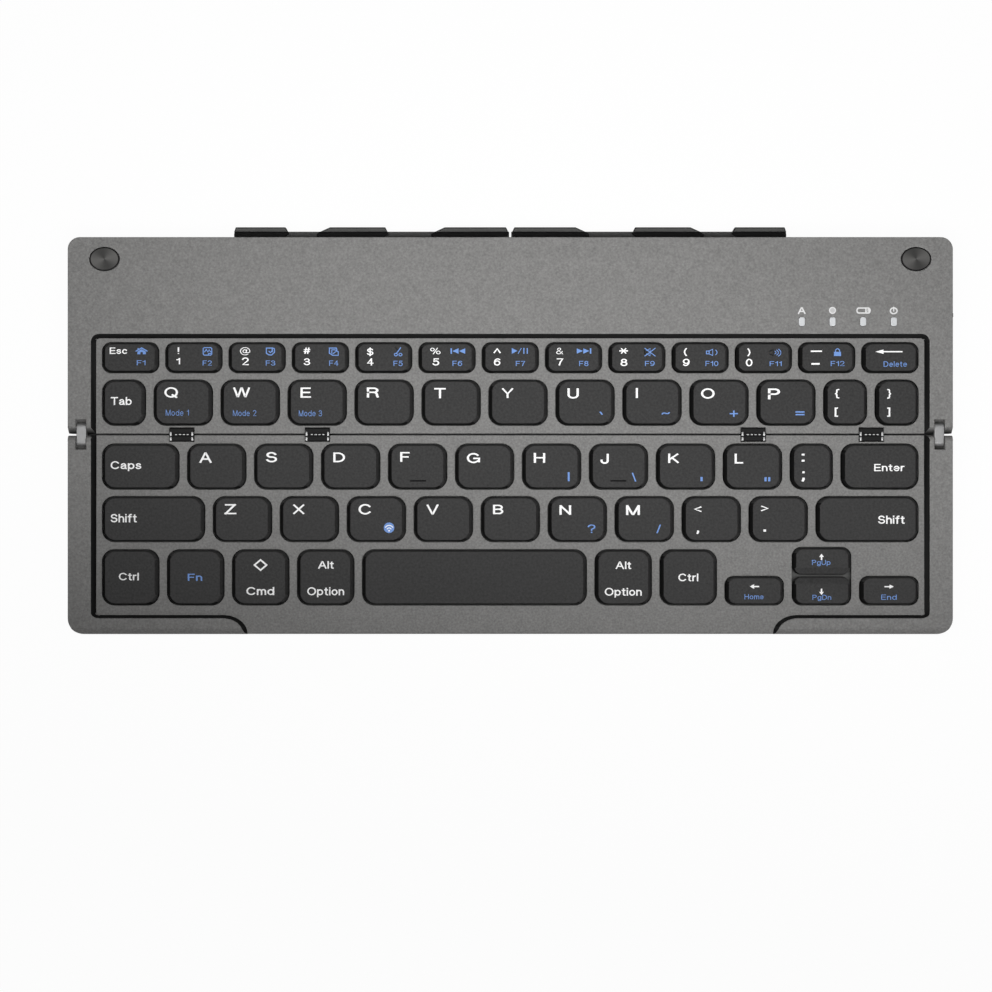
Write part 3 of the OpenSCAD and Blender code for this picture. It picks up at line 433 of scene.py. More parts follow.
# Letters in a frame where capitals are 1 high: the width, then the lines that the pen follows
def letterStrokes():
    round0 = arc(0.29, 0.35, 0.29, 0.35)
    dot = [(0, 0), (0, 0.02)]
    arch = arc(0.25, 0.42, 0.25, 0.28, 180, 0) + [(0.5, 0)]
    snake = arc(0.33, 0.75, 0.29, 0.25, 18, 250) + arc(0.34, 0.26, 0.32, 0.26, 75, -162)
    return {
        " ": (0.2, []),
        "A": (0.84, [[(0, 0), (0.39, 1), (0.45, 1), (0.84, 0)], [(0.14, 0.34), (0.7, 0.34)]]),
        "B": (0.66, [[(0, 0.52), (0, 1), *arc(0.36, 0.76, 0.26, 0.24, 90, -90), (0, 0.52)],
                     [(0, 0.52), *arc(0.38, 0.26, 0.28, 0.26, 90, -90), (0, 0), (0, 0.52)]]),
        "C": (0.84, [arc(0.44, 0.5, 0.44, 0.5, 40, 320)]),
        "D": (0.74, [[(0, 0), (0, 1), *arc(0.3, 0.5, 0.44, 0.5, 90, -90), (0, 0)]]),
        "E": (0.62, [[(0.6, 1), (0, 1), (0, 0), (0.62, 0)], [(0, 0.52), (0.56, 0.52)]]),
        "F": (0.58, [[(0.58, 1), (0, 1), (0, 0)], [(0, 0.5), (0.5, 0.5)]]),
        "G": (0.88, [arc(0.44, 0.5, 0.44, 0.5, 42, 318), [(0.5, 0.46), (0.88, 0.46), (0.87, 0.1)]]),
        "H": (0.7, [[(0, 0), (0, 1)], [(0.7, 0), (0.7, 1)], [(0, 0.52), (0.7, 0.52)]]),
        "I": (0.0, [[(0, 0), (0, 1)]]),
        "J": (0.48, [[(0.48, 1), *arc(0.24, 0.26, 0.24, 0.26, 0, -180), (0, 0.32)]]),
        "K": (0.7, [[(0, 0), (0, 1)], [(0.66, 1), (0.02, 0.36)], [(0.24, 0.56), (0.7, 0)]]),
        "L": (0.52, [[(0, 1), (0, 0), (0.52, 0)]]),
        "M": (0.84, [[(0, 0), (0, 1)], [(0.84, 0), (0.84, 1)],
                     [(0.02, 1), (0.39, 0), (0.45, 0), (0.82, 1)]]),
        "N": (0.7, [[(0, 0), (0, 1)], [(0.7, 0), (0.7, 1)], [(0.02, 1), (0.68, 0)]]),
        "O": (0.9, [arc(0.45, 0.5, 0.45, 0.5)]),
        "P": (0.64, [[(0, 0), (0, 1), *arc(0.37, 0.74, 0.27, 0.26, 90, -90), (0, 0.48)]]),
        "Q": (0.9, [arc(0.45, 0.5, 0.45, 0.5), [(0.56, 0.22), (0.84, -0.02)]]),
        "R": (0.68, [[(0, 0), (0, 1), *arc(0.4, 0.76, 0.26, 0.24, 90, -90), (0, 0.52)],
                     [(0.4, 0.52), (0.56, 0.46), (0.63, 0.3), (0.64, 0.1), (0.68, 0)]]),
        "S": (0.66, [snake]),
        "T": (0.74, [[(0, 1), (0.74, 1)], [(0.37, 1), (0.37, 0)]]),
        "U": (0.68, [[(0, 1), *arc(0.34, 0.33, 0.34, 0.33, 180, 360), (0.68, 1)]]),
        "V": (0.84, [[(0, 1), (0.39, 0), (0.45, 0), (0.84, 1)]]),
        "W": (1.2, [[(0, 1), (0.27, 0), (0.32, 0), (0.57, 1), (0.63, 1), (0.88, 0), (0.93, 0), (1.2, 1)]]),
        "X": (0.78, [[(0, 0), (0.78, 1)], [(0, 1), (0.78, 0)]]),
        "Y": (0.8, [[(0, 1), (0.4, 0.42), (0.8, 1)], [(0.4, 0.46), (0.4, 0)]]),
        "Z": (0.72, [[(0.04, 1), (0.7, 1)], [(0.68, 1), (0.02, 0)], [(0, 0), (0.72, 0)]]),
        "0": (0.6, [arc(0.3, 0.5, 0.3, 0.5)]),
        "1": (0.3, [[(0, 0.76), (0.18, 0.8), (0.28, 0.96)], [(0.3, 1), (0.3, 0)]]),
        "2": (0.6, [arc(0.3, 0.72, 0.29, 0.28, 165, -35) + [(0, 0), (0.6, 0)]]),
        "3": (0.59, [arc(0.28, 0.76, 0.26, 0.24, 160, -80) + [(0.2, 0.53)],
                     [(0.2, 0.53), *arc(0.29, 0.27, 0.3, 0.27, 80, -165)]]),
        "4": (0.64, [[(0.47, 0), (0.47, 1)], [(0.45, 0.97), (0, 0.3), (0.64, 0.3)]]),
        "5": (0.6, [[(0.55, 1), (0.12, 1), (0.04, 0.5), *arc(0.29, 0.33, 0.31, 0.33, 125, -155)]]),
        "6": (0.6, [arc(0.3, 0.33, 0.3, 0.33), arc(0.36, 0.42, 0.36, 0.58, 52, 180)]),
        "7": (0.6, [[(0, 1), (0.6, 1), (0.34, 0.5), (0.22, 0)]]),
        "8": (0.6, [arc(0.3, 0.77, 0.25, 0.23), arc(0.3, 0.27, 0.3, 0.27)]),
        "9": (0.6, [arc(0.3, 0.67, 0.3, 0.33), arc(0.24, 0.58, 0.36, 0.58, 0, -128)]),
        "a": (0.54, [arc(0.25, 0.5, 0.22, 0.2, 165, 0) + [(0.48, 0.12), (0.54, 0)],
                     [(0.48, 0.42), (0.2, 0.37), (0.04, 0.29), (0, 0.16), (0.07, 0.03), (0.2, 0),
                      (0.36, 0.04), (0.48, 0.18)]]),
        "b": (0.58, [[(0, 1), (0, 0)], round0]), "c": (0.52, [arc(0.28, 0.35, 0.28, 0.35, 42, 318)]),
        "d": (0.58, [[(0.58, 1), (0.58, 0)], round0]),
        "e": (0.56, [[(0.02, 0.37), *arc(0.28, 0.35, 0.28, 0.35, 3, 318)]]),
        "f": (0.32, [[(0.32, 1), (0.24, 1), (0.14, 0.9), (0.14, 0)], [(0, 0.7), (0.3, 0.7)]]),
        "g": (0.58, [[(0.58, 0.7), *arc(0.29, -0.05, 0.29, 0.22, 0, -160)], round0]),
        "h": (0.5, [[(0, 1), (0, 0)], arch]), "i": (0.0, [[(0, 0.7), (0, 0)], [(0, 0.98), (0, 1)]]),
        "l": (0.0, [[(0, 1), (0, 0)]]),
        "m": (0.84, [[(0, 0.7), (0, 0)], arc(0.21, 0.47, 0.21, 0.23, 180, 0) + [(0.42, 0)],
                     arc(0.63, 0.47, 0.21, 0.23, 180, 0) + [(0.84, 0)]]),
        "n": (0.5, [[(0, 0.7), (0, 0)], arch]), "o": (0.58, [round0]),
        "p": (0.58, [[(0, 0.7), (0, -0.28)], round0]),
        "r": (0.27, [[(0, 0.7), (0, 0)], [(0, 0.4), (0.06, 0.6), (0.16, 0.69), (0.27, 0.7)]]),
        "s": (0.48, [arc(0.24, 0.53, 0.2, 0.17, 15, 245) + arc(0.24, 0.18, 0.24, 0.18, 70, -162)]),
        "t": (0.3, [[(0.13, 0.92), (0.13, 0.1), (0.19, 0.01), (0.3, 0)], [(0, 0.7), (0.28, 0.7)]]),
        "!": (0.0, [[(0, 1), (0, 0.3)], dot]),
        "#": (0.66, [[(0.1, 0), (0.24, 1)], [(0.42, 0), (0.56, 1)], [(0, 0.34), (0.62, 0.34)],
                     [(0.04, 0.68), (0.66, 0.68)]]),
        "@": (1.1, [[(0.74, 0.72), (0.68, 0.34), (0.76, 0.24), (0.92, 0.26),
                     *arc(0.55, 0.5, 0.55, 0.58, -15, 305)], arc(0.5, 0.5, 0.2, 0.24)]),
        "$": (0.66, [snake, [(0.33, -0.14), (0.33, 1.14)]]),
        "%": (1.06, [arc(0.2, 0.75, 0.2, 0.25), arc(0.86, 0.25, 0.2, 0.25), [(0.3, 0), (0.76, 1)]]),
        "^": (0.6, [[(0, 0.5), (0.3, 1), (0.6, 0.5)]]),
        "&": (0.74, [[(0.74, 0), (0.2, 0.64), (0.14, 0.8), (0.22, 0.96), (0.34, 1), (0.46, 0.95),
                      (0.5, 0.8), (0.42, 0.64), (0.12, 0.42), (0.02, 0.24), (0.1, 0.06), (0.28, 0),
                      (0.48, 0.06), (0.62, 0.24), (0.68, 0.44)]]),
        "(": (0.2, [[(0.2, 1.2), (0.05, 0.85), (0, 0.5), (0.05, 0.15), (0.2, -0.2)]]),
        ")": (0.2, [[(0, 1.2), (0.15, 0.85), (0.2, 0.5), (0.15, 0.15), (0, -0.2)]]),
        "{": (0.3, [[(0.3, 1.1), (0.16, 1.06), (0.12, 0.94), (0.12, 0.66), (0, 0.5), (0.12, 0.34),
                     (0.12, 0.06), (0.16, -0.06), (0.3, -0.1)]]),
        "}": (0.3, [[(0, 1.1), (0.14, 1.06), (0.18, 0.94), (0.18, 0.66), (0.3, 0.5), (0.18, 0.34),
                     (0.18, 0.06), (0.14, -0.06), (0, -0.1)]]),
        "[": (0.16, [[(0.16, 1.1), (0, 1.1), (0, -0.1), (0.16, -0.1)]]),
        "]": (0.16, [[(0, 1.1), (0.16, 1.1), (0.16, -0.1), (0, -0.1)]]),
        ":": (0.0, [dot, [(0, 0.62), (0, 0.64)]]),
        ";": (0.05, [[(0.05, 0), (0.05, -0.08), (0, -0.2)], [(0.05, 0.62), (0.05, 0.64)]]),
        ",": (0.05, [[(0.05, 0), (0.05, -0.08), (0, -0.2)]]),
        "<": (0.6, [[(0.6, 0.8), (0, 0.5), (0.6, 0.2)]]), ">": (0.6, [[(0, 0.8), (0.6, 0.5), (0, 0.2)]]),
        "~": (0.6, [[(0, 0.4), (0.08, 0.52), (0.18, 0.54), (0.42, 0.44), (0.52, 0.46), (0.6, 0.58)]]),
        "+": (0.6, [[(0, 0.5), (0.6, 0.5)], [(0.3, 0.2), (0.3, 0.8)]]),
        "=": (0.6, [[(0, 0.36), (0.6, 0.36)], [(0, 0.64), (0.6, 0.64)]]),
        "\\": (0.3, [[(0, 1), (0.3, 0)]]), "/": (0.3, [[(0, 0), (0.3, 1)]]),
        "'": (0.0, [[(0, 1), (0, 0.76)]]), '"': (0.24, [[(0, 1), (0, 0.76)], [(0.24, 1), (0.24, 0.76)]]),
        "?": (0.56, [arc(0.28, 0.74, 0.28, 0.26, 170, -50) + [(0.28, 0.42), (0.28, 0.3)],
                     [(0.28, 0), (0.28, 0.02)]]),
    }


# The two sides of a stroke of even width, with mitred corners and square ends
def strokeSides(points, width):
    closed = math.dist(points[0], points[-1]) < 1e-6
    points = points[:-1] if closed else points
    legs = list(zip(points, points[1:] + points[:1]))[:len(points) if closed else -1]
    ways = [((bx - ax) / math.dist((ax, ay), (bx, by)), (by - ay) / math.dist((ax, ay), (bx, by)))
            for (ax, ay), (bx, by) in legs]
    half, sides = width / 2, []
    for i, (x, y) in enumerate(points):
        first, last = not closed and i == 0, not closed and i == len(points) - 1
        inX, inY = ways[0] if first else ways[i - 1]
        onX, onY = ways[-1] if last else ways[i]
        if first:
            x, y = x - onX * half, y - onY * half
        if last:
            x, y = x + inX * half, y + inY * half
        mx, my = -(inY + onY) / 2, (inX + onX) / 2
        reach = half / max(mx * mx + my * my, 0.4)  # keeps the mitre short at a sharp corner
        sides.append(((x + mx * reach, y + my * reach), (x - mx * reach, y - my * reach)))
    return sides, closed


def addStroke(bm, sides, closed, low, high):
    rows = [[bm.verts.new((x * mm, y * mm, z * mm)) for z in (low, high) for x, y in pair]
            for pair in sides]
    ends = rows[1:] + rows[:1] if closed else rows[1:]
    for a, b in zip(rows, ends):
        for corners in ((a[2], a[3], b[3], b[2]), (a[0], b[0], b[1], a[1]),
                        (a[0], a[2], b[2], b[0]), (a[1], b[1], b[3], a[3])):
            bm.faces.new(corners)
    if not closed:
        for a in (rows[0], rows[-1]):
            bm.faces.new((a[0], a[1], a[3], a[2]))


def addSolid(bm, outline, low, high):
    bottom = [bm.verts.new((x * mm, y * mm, low * mm)) for x, y in outline]
    upper = [bm.verts.new((x * mm, y * mm, high * mm)) for x, y in outline]
    bm.faces.new(upper)
    bm.faces.new(bottom[::-1])
    for i, vert in enumerate(bottom):
        j = (i + 1) % len(bottom)
        bm.faces.new((vert, bottom[j], upper[j], upper[i]))


# Signs are drawn in a box from 0 to 1 each way: filled outlines, then strokes with their width
def signShapes():
    def speaker(left, waist, right):
        return [[(left, 0.3), (left, 0.7), (waist, 0.7), (waist, 0.3), (left, 0.3)],
                [(waist, 0.7), (right, 0.94), (right, 0.06), (waist, 0.3)]]

    frameBox = [(0.16, 0.05), (0.84, 0.05), (0.95, 0.16), (0.95, 0.84), (0.84, 0.95), (0.16, 0.95),
                (0.05, 0.84), (0.05, 0.16), (0.16, 0.05)]
    return {
        "@home": ([[(0, 0.46), (0.5, 1), (1, 0.46), (0.93, 0.36), (0.5, 0.8), (0.07, 0.36)],
                   block(0.18, 0.62, 0.28, 0.86),
                   [(0.17, 0.38), (0.17, 0), (0.4, 0), (0.4, 0.26), (0.5, 0.34), (0.5, 0.73)],
                   [(0.83, 0.38), (0.5, 0.73), (0.5, 0.34), (0.6, 0.26), (0.6, 0), (0.83, 0)]], []),
        "@graph": ([], [(frameBox, 0.11),
                        ([(0.2, 0.45), (0.38, 0.72), (0.55, 0.42), (0.68, 0.7), (0.82, 0.45)], 0.12),
                        ([(0.6, 0.05), (0.6, 0.24), (0.95, 0.24)], 0.1)]),
        "@page": ([], [([(0.06, 0.3), (0.06, 0.94), (0.7, 0.94), (0.7, 0.5)], 0.13),
                       ([(0.06, 0.3), (0.3, 0.1), (0.62, 0.06), (0.94, 0.4), (0.94, 0.85), (0.8, 0.9)],
                        0.13),
                       ([(0.36, 0.52), (0.5, 0.36), (0.72, 0.62)], 0.12)]),
        "@paste": ([], [([(0.06, 0.3), (0.06, 0.94), (0.75, 0.94), (0.8, 0.72)], 0.12),
                        ([(0.3, 0.3), (0.3, 0.72), (0.62, 0.72), (0.94, 0.5), (0.94, 0.06), (0.4, 0.06),
                          (0.06, 0.3)], 0.1), ([(0.42, 0.26), (0.74, 0.54)], 0.1)]),
        "@scissors": ([], [([(0.22, 1), (0.68, 0.36)], 0.11), ([(0.78, 1), (0.32, 0.36)], 0.11),
                           (arc(0.24, 0.2, 0.18, 0.15), 0.09), (arc(0.76, 0.2, 0.18, 0.15), 0.09)]),
        "@prev": ([block(0, 0, 0.1, 1), [(0.14, 0.5), (0.55, 0), (0.55, 1)],
                   [(0.58, 0.5), (1, 0), (1, 1)]], []),
        "@next": ([block(0.9, 0, 1, 1), [(0.86, 0.5), (0.45, 1), (0.45, 0)],
                   [(0.42, 0.5), (0, 1), (0, 0)]], []),
        "@play": ([[(0, 0), (0.34, 0.5), (0, 1)], block(0.71, 0, 0.78, 1), block(0.92, 0, 0.99, 1)],
                  [([(0.4, 0.06), (0.58, 0.94)], 0.12)]),
        "@star": ([], [([(0.06, 0.5), (0.94, 0.5)], 0.19), ([(0.26, 0.12), (0.74, 0.88)], 0.19),
                       ([(0.26, 0.88), (0.74, 0.12)], 0.19)]),
        "@mute": ([], [(points, 0.09) for points in speaker(0.03, 0.22, 0.52)] +
                  [([(0.06, 0.04), (0.97, 0.96)], 0.1), ([(0.06, 0.96), (0.97, 0.04)], 0.1)]),
        "@quiet": ([], [(points, 0.11) for points in speaker(0.04, 0.26, 0.56)] +
                   [(arc(0.6, 0.5, 0.32, 0.42, -50, 50), 0.11)]),
        "@loud": ([], [(points, 0.11) for points in speaker(0.03, 0.18, 0.4)] +
                  [(arc(0.38, 0.5, r, r * 1.35, -46, 46), 0.1) for r in (0.2, 0.36, 0.52)]),
        "@bar": ([block(0, 0, 1, 1)], []),
        "@lock": ([block(0.03, 0, 0.97, 0.54)],
                  [([(0.22, 0.5), *arc(0.5, 0.62, 0.28, 0.32, 180, 0), (0.78, 0.5)], 0.12)]),
        "@longArrow": ([[(0, 0.5), (0.3, 0), (0.3, 0.36), (1, 0.36), (1, 0.64), (0.3, 0.64),
                         (0.3, 1)]], []),
        "@tick": ([[(0, 1), (0.45, 1), (1, 0), (0.55, 0)]], []),
        "@badge": ([arc(0.5, 0.5, 0.5, 0.5, 0, 348, 29)], []),
        "@waves": ([arc(0.5, 0.1, 0.13, 0.12, 0, 330, 11)],
                   [(arc(0.5, 0.06, r, r, 42, 138), 0.13) for r in (0.42, 0.78)]),
        "@dot": ([block(0.05, 0, 0.95, 1)], []),
        "@diamond": ([], [([(0.5, 0.06), (0.94, 0.5), (0.5, 0.94), (0.06, 0.5), (0.5, 0.06)], 0.14)]),
        "@arrowUp": ([[(0.34, 0), (0.66, 0), (0.66, 0.5), (1, 0.5), (0.5, 1), (0, 0.5), (0.34, 0.5)]], []),
        "@arrowDown": ([[(0.34, 1), (0.34, 0.5), (0, 0.5), (0.5, 0), (1, 0.5), (0.66, 0.5),
                         (0.66, 1)]], []),
        "@arrowLeft": ([[(0, 0.5), (0.45, 0), (0.45, 0.36), (1, 0.36), (1, 0.64), (0.45, 0.64),
                         (0.45, 1)]], []),
        "@arrowRight": ([[(1, 0.5), (0.55, 1), (0.55, 0.64), (0, 0.64), (0, 0.36), (0.55, 0.36),
                          (0.55, 0)]], []),
        "@battery": ([block(0.62, 0.12, 0.72, 0.88), block(0.82, 0.12, 0.92, 0.88)],
                     [(arc(0.18, 0.5, 0.13, 0.4, 90, 270, 8) + arc(0.84, 0.5, 0.12, 0.4, -90, 90, 8) +
                       [(0.18, 0.9)], 0.22), ([(0.75, 0.3), (0.8, 0.7)], 0.1)]),
        "@power": ([], [(arc(0.5, 0.46, 0.4, 0.42, 0, 360, 20), 0.2), ([(0.5, 0.42), (0.5, 0.96)], 0.18)]),
        "@ring": ([], [(arc(0.5, 0.5, 0.4, 0.4, 0, 360, 24), 0.2)]),
        "@capsA": ([], [([(0.1, 0.08), (0.46, 0.9), (0.54, 0.9), (0.9, 0.08)], 0.22),
                        ([(0.3, 0.36), (0.7, 0.36)], 0.2)]),
    }


letters, signs = letterStrokes(), signShapes()
ink = {
    "low": -0.02, "high": 0.012, "layer": 0.003, "letter": 0.168, "word": 0.175, "blueLetter": 0.14,
    "blueWord": 0.13, "fine": 0.1, "space": 0.29, "lift": {"blueInk": 0.0, "whiteInk": 0.012},
}


# How thick the pen is for a text, as a share of a capital's height
def penWeight(text, blue):
    if text in "@&%!" or text.startswith("Mode"):
        return ink["fine"]
    if blue and text != "Fn":
        return ink["blueWord"] if len(text) > 1 else ink["blueLetter"]
    return ink["word"] if len(text) > 1 else ink["letter"]


def addInk(bm, text, x, y, w, d, level, blue=False):
    low, high = level + ink["low"], level + ink["high"]
    if text in signs:
        filled, strokes = signs[text]
        for i, outline in enumerate(filled):
            addSolid(bm, [(x + u * w, y + v * d) for u, v in outline], low, high - i * ink["layer"])
        for i, (points, width) in enumerate(strokes):
            sides = strokeSides([(x + u * w, y + v * d) for u, v in points], width * min(w, d))
            addStroke(bm, *sides, low, high + (i - len(strokes)) * ink["layer"])
        return
    made, pen = [], 0
    for char in text:
        width, strokes = letters[char]
        for points in strokes:
            made.append(strokeSides([(pen + u, v) for u, v in points], penWeight(text, blue)))
        pen += width + ink["space"]
    spots = [spot for sides, closed in made for pair in sides for spot in pair]
    left, right = min(u for u, v in spots), max(u for u, v in spots)
    foot, head = min(v for u, v in spots), max(v for u, v in spots)
    for i, (sides, closed) in enumerate(made):
        fitted = [[(x + (u - left) / (right - left) * w, y + (v - foot) / (head - foot) * d)
                   for u, v in pair] for pair in sides]
        addStroke(bm, fitted, closed, low, high - i % 4 * ink["layer"])


# For each key: a text or sign, its left and front edge, its width and its depth, in mm
whiteLegends = {
    "key_esc": [("Esc", -113.4, 22.81, 4.95, 1.81)],
    "keys_1_to_4": [
        ("!", -94.15, 22.84, 0.42, 1.84), ("1", -94.54, 19.86, 1.1, 1.78),
        ("@", -76.51, 22.44, 2.89, 2.26), ("2", -76, 19.61, 1.98, 2.21), ("#", -58.53, 22.81, 1.9, 1.81),
        ("3", -58.53, 19.61, 1.9, 1.95), ("$", -40.62, 22.21, 1.9, 2.41), ("4", -40.62, 19.52, 1.9, 2.04),
    ],
    "keys_5_to_8": [
        ("%", -22.67, 22.69, 2.92, 1.87), ("5", -22.1, 19.52, 2.01, 2.04), ("^", -4.8, 22.98, 2.18, 1.5),
        ("6", -4.66, 19.52, 1.9, 2.04), ("&", 12.95, 22.69, 2.07, 1.87), ("7", 13.17, 19.52, 1.9, 2.04),
        ("@star", 30.86, 22.84, 2.46, 1.64), ("8", 31.2, 19.38, 1.98, 2.04),
    ],
    "keys_9_to_dash": [
        ("(", 49.12, 22.21, 0.96, 2.26), ("9", 48.81, 19.38, 1.98, 2.04), (")", 67.07, 22.13, 0.93, 2.26),
        ("0", 66.68, 19.3, 1.9, 2.12), ("@bar", 85.08, 23.37, 3.17, 0.4),
        ("@bar", 85.22, 19.75, 2.38, 0.48),
    ],
    "key_delete": [("@longArrow", 103.34, 22.81, 7.7, 1.25)],
    "key_tab": [("Tab", -113.09, 8.28, 5.92, 2.32)],
    "keys_q_to_t": [
        ("Q", -97.94, 10.27, 3.88, 3.11), ("W", -78.49, 10.55, 4.87, 2.8),
        ("E", -59.38, 10.41, 2.97, 2.89), ("R", -40.62, 10.41, 3.51, 2.89),
        ("T", -21.53, 10.24, 3.28, 2.92),
    ],
    "keys_y_to_p": [
        ("Y", -2.43, 10.32, 3.34, 2.83), ("U", 16.2, 10.18, 3.2, 2.89), ("I", 35.54, 10.32, 0.59, 2.83),
        ("O", 53.99, 10.15, 3.88, 2.92), ("P", 72.96, 9.95, 3.4, 3.06),
    ],
    "keys_brackets": [
        ("{", 91.84, 10.18, 1.36, 2.75), ("[", 91.84, 5.03, 0.93, 2.6), ("}", 106.7, 10.1, 1.16, 2.83),
        ("]", 106.7, 5.03, 0.88, 2.6),
    ],
    "key_caps": [("Caps", -113.17, -10.34, 8.72, 2.77)],
    "keys_a_to_g": [
        ("A", -88.06, -8.08, 3.57, 2.97), ("S", -69.21, -7.88, 3.23, 2.92),
        ("D", -50.1, -7.85, 3.31, 2.75), ("F", -31.16, -7.74, 2.69, 2.77),
        ("G", -12.31, -8.11, 3.79, 2.86),
    ],
    "keys_h_to_colon": [
        ("H", 6.66, -8.02, 3.23, 2.77), ("J", 25.54, -8.3, 2.35, 2.83), ("K", 44.65, -8.16, 3.2, 2.83),
        ("L", 63.53, -8.22, 2.43, 2.77), (":", 82.5, -7.68, 0.82, 2.24), (";", 82.39, -13.37, 0.96, 2.94),
    ],
    "key_enter": [("Enter", 103.02, -10.4, 8.58, 2.04)],
    "key_shift_left": [("Shift", -113.17, -24.89, 7.45, 2.38)],
    "keys_z_to_b": [
        ("Z", -80.98, -22.66, 3.43, 3.03), ("X", -61.59, -22.6, 3.4, 2.86),
        ("C", -42.96, -22.66, 3.54, 2.97), ("@waves", -35.18, -27.44, 1.76, 2.04),
        ("V", -23.77, -22.66, 3.54, 2.89), ("B", -4.89, -22.57, 2.92, 2.69),
    ],
    "keys_n_to_point": [
        ("N", 13.88, -22.8, 3.4, 2.83), ("M", 32.76, -22.8, 3.96, 2.83), ("<", 51.96, -21.95, 2.26, 1.61),
        (",", 52.63, -28.23, 0.82, 1.05), (">", 70.92, -21.75, 2.26, 1.64),
        ("@dot", 71.63, -27.53, 0.82, 0.62),
    ],
    "key_shift_right": [("Shift", 104.1, -25.29, 7.56, 2.32)],
    "key_ctrl_left": [("Ctrl", -110.82, -41.31, 5.66, 2.15)],
    "key_cmd": [("@diamond", -72.66, -38.6, 3.91, 3.28), ("Cmd", -74.73, -45.45, 7.93, 2.26)],
    "key_alts": [
        ("Alt", -54.43, -38.03, 4.47, 2.18), ("Option", -57.49, -46.07, 10.47, 2.83),
        ("Alt", 29.79, -38.14, 4.47, 2.18), ("Option", 26.73, -46.18, 10.5, 2.77),
    ],
    "key_ctrl_right": [("Ctrl", 47.57, -41.57, 5.66, 2.18)],
    "key_up": [("@arrowUp", 87.45, -35.54, 1.33, 1.76)],
    "key_left": [("@arrowLeft", 67.86, -43.69, 2.6, 1.3)],
    "key_down": [("@arrowDown", 87.45, -45.45, 1.33, 1.78)],
    "key_right": [("@arrowRight", 105.94, -43.69, 2.6, 1.22)],
}
blueLegends = {
    "key_esc": [("@home", -106.18, 22.72, 3.62, 1.98), ("F1", -105.73, 19.61, 2.46, 1.39)],
    "keys_1_to_4": [
        ("@graph", -87.07, 22.35, 2.69, 2.35), ("F2", -87.07, 19.52, 2.55, 1.42),
        ("@page", -69.21, 22.35, 2.6, 2.26), ("F3", -69.21, 19.52, 2.69, 1.42),
        ("@paste", -51.37, 22.27, 2.83, 2.35), ("F4", -51.26, 19.44, 2.58, 1.5),
        ("@scissors", -32.97, 22.13, 2.46, 2.43), ("F5", -33.06, 19.38, 2.6, 1.47),
    ],
    "keys_5_to_8": [
        ("@prev", -16.92, 22.84, 4.16, 1.56), ("F6", -16.35, 19.41, 2.75, 1.44),
        ("@play", 0.43, 22.84, 4.59, 1.64), ("F7", 1.57, 19.38, 2.66, 1.42),
        ("@next", 18.83, 22.89, 4.1, 1.5), ("F8", 19.51, 19.38, 2.63, 1.42),
        ("@mute", 37.94, 22.13, 3.17, 2.35), ("F9", 38.14, 19.38, 2.75, 1.42),
    ],
    "keys_9_to_dash": [
        ("@quiet", 55.41, 22.21, 3.4, 2.04), ("F10", 55.27, 19.38, 3.62, 1.42),
        ("@loud", 72.68, 22.21, 4.39, 1.93), ("F11", 73.44, 19.38, 3.4, 1.33),
        ("@lock", 91.59, 22.21, 2.12, 2.18), ("F12", 90.74, 19.38, 3.88, 1.42),
    ],
    "key_delete": [("Delete", 105.71, 19.18, 6.6, 1.53)],
    "keys_q_to_t": [
        ("Mode 1", -97.52, 5.34, 6.51, 1.67), ("Mode 2", -78.49, 5.23, 6.57, 1.67),
        ("Mode 3", -59.87, 5.17, 6.57, 1.67),
    ],
    "keys_y_to_p": [
        ("@tick", 25.2, 5.6, 1.05, 0.85), ("~", 42.75, 5.62, 2.52, 0.74), ("+", 62.12, 5, 2.35, 1.78),
        ("=", 80.75, 5.43, 2.55, 1.13),
    ],
    "keys_h_to_colon": [
        ("@bar", 16.26, -13.23, 0.54, 2.55), ("\\", 34.38, -13.37, 1.3, 2.6),
        ("'", 53.85, -13.23, 0.62, 1.19), ('"', 71.97, -13.26, 1.64, 1.16),
    ],
    "keys_z_to_b": [("@badge", -35.8, -27.89, 2.97, 2.97)],
    "keys_n_to_point": [("?", 21.86, -27.89, 2.26, 2.41), ("/", 41.34, -27.98, 1.33, 2.49)],
    "key_fn": [("Fn", -91.32, -41.43, 4.13, 2.01)],
    "key_up": [("PgUp", 85.42, -37.29, 5.24, 1.76)],
    "key_left": [("Home", 66.31, -46.63, 5.44, 1.42)],
    "key_down": [("PgDn", 85.56, -47.14, 5.29, 1.73)],
    "key_right": [("End", 105.01, -46.78, 4.39, 1.44)],
}


def inkPieces(legends, label, material):
    level = heights["keyTop"] + ink["lift"][material]
    for node, entries in legends.items():
        bm = bmesh.new()
        for entry in entries:
            addInk(bm, *entry, level, material == "blueInk")
        finishMesh(bm, node.replace("_", "") + label, node + "_body", [material])


inkPieces(whiteLegends, "WhiteInk", "whiteInk")
inkPieces(blueLegends, "BlueInk", "blueInk")

# Raised bars that the forefingers feel, near-black with the keys' painted shade
homeBars = {
    "at": {"keys_a_to_g": -28.35, "keys_h_to_colon": 28.35}, "long": 4.5, "front": -13.35, "rear": -12.93,
    "sink": 0.1, "rise": 0.2, "edge": 0.1,
}
for node, x in homeBars["at"].items():
    bm = bmesh.new()
    addSolid(bm, block(x, homeBars["front"], x + homeBars["long"], homeBars["rear"]),
             heights["keyTop"] - homeBars["sink"], heights["keyTop"] + homeBars["rise"])
    bmesh.ops.bevel(bm, geom=bm.edges[:], offset=homeBars["edge"] * mm, segments=2, profile=0.5,
                    affect="EDGES")
    finishMesh(bm, node.replace("_", "") + "Bar", node + "_body", ["keySide"])

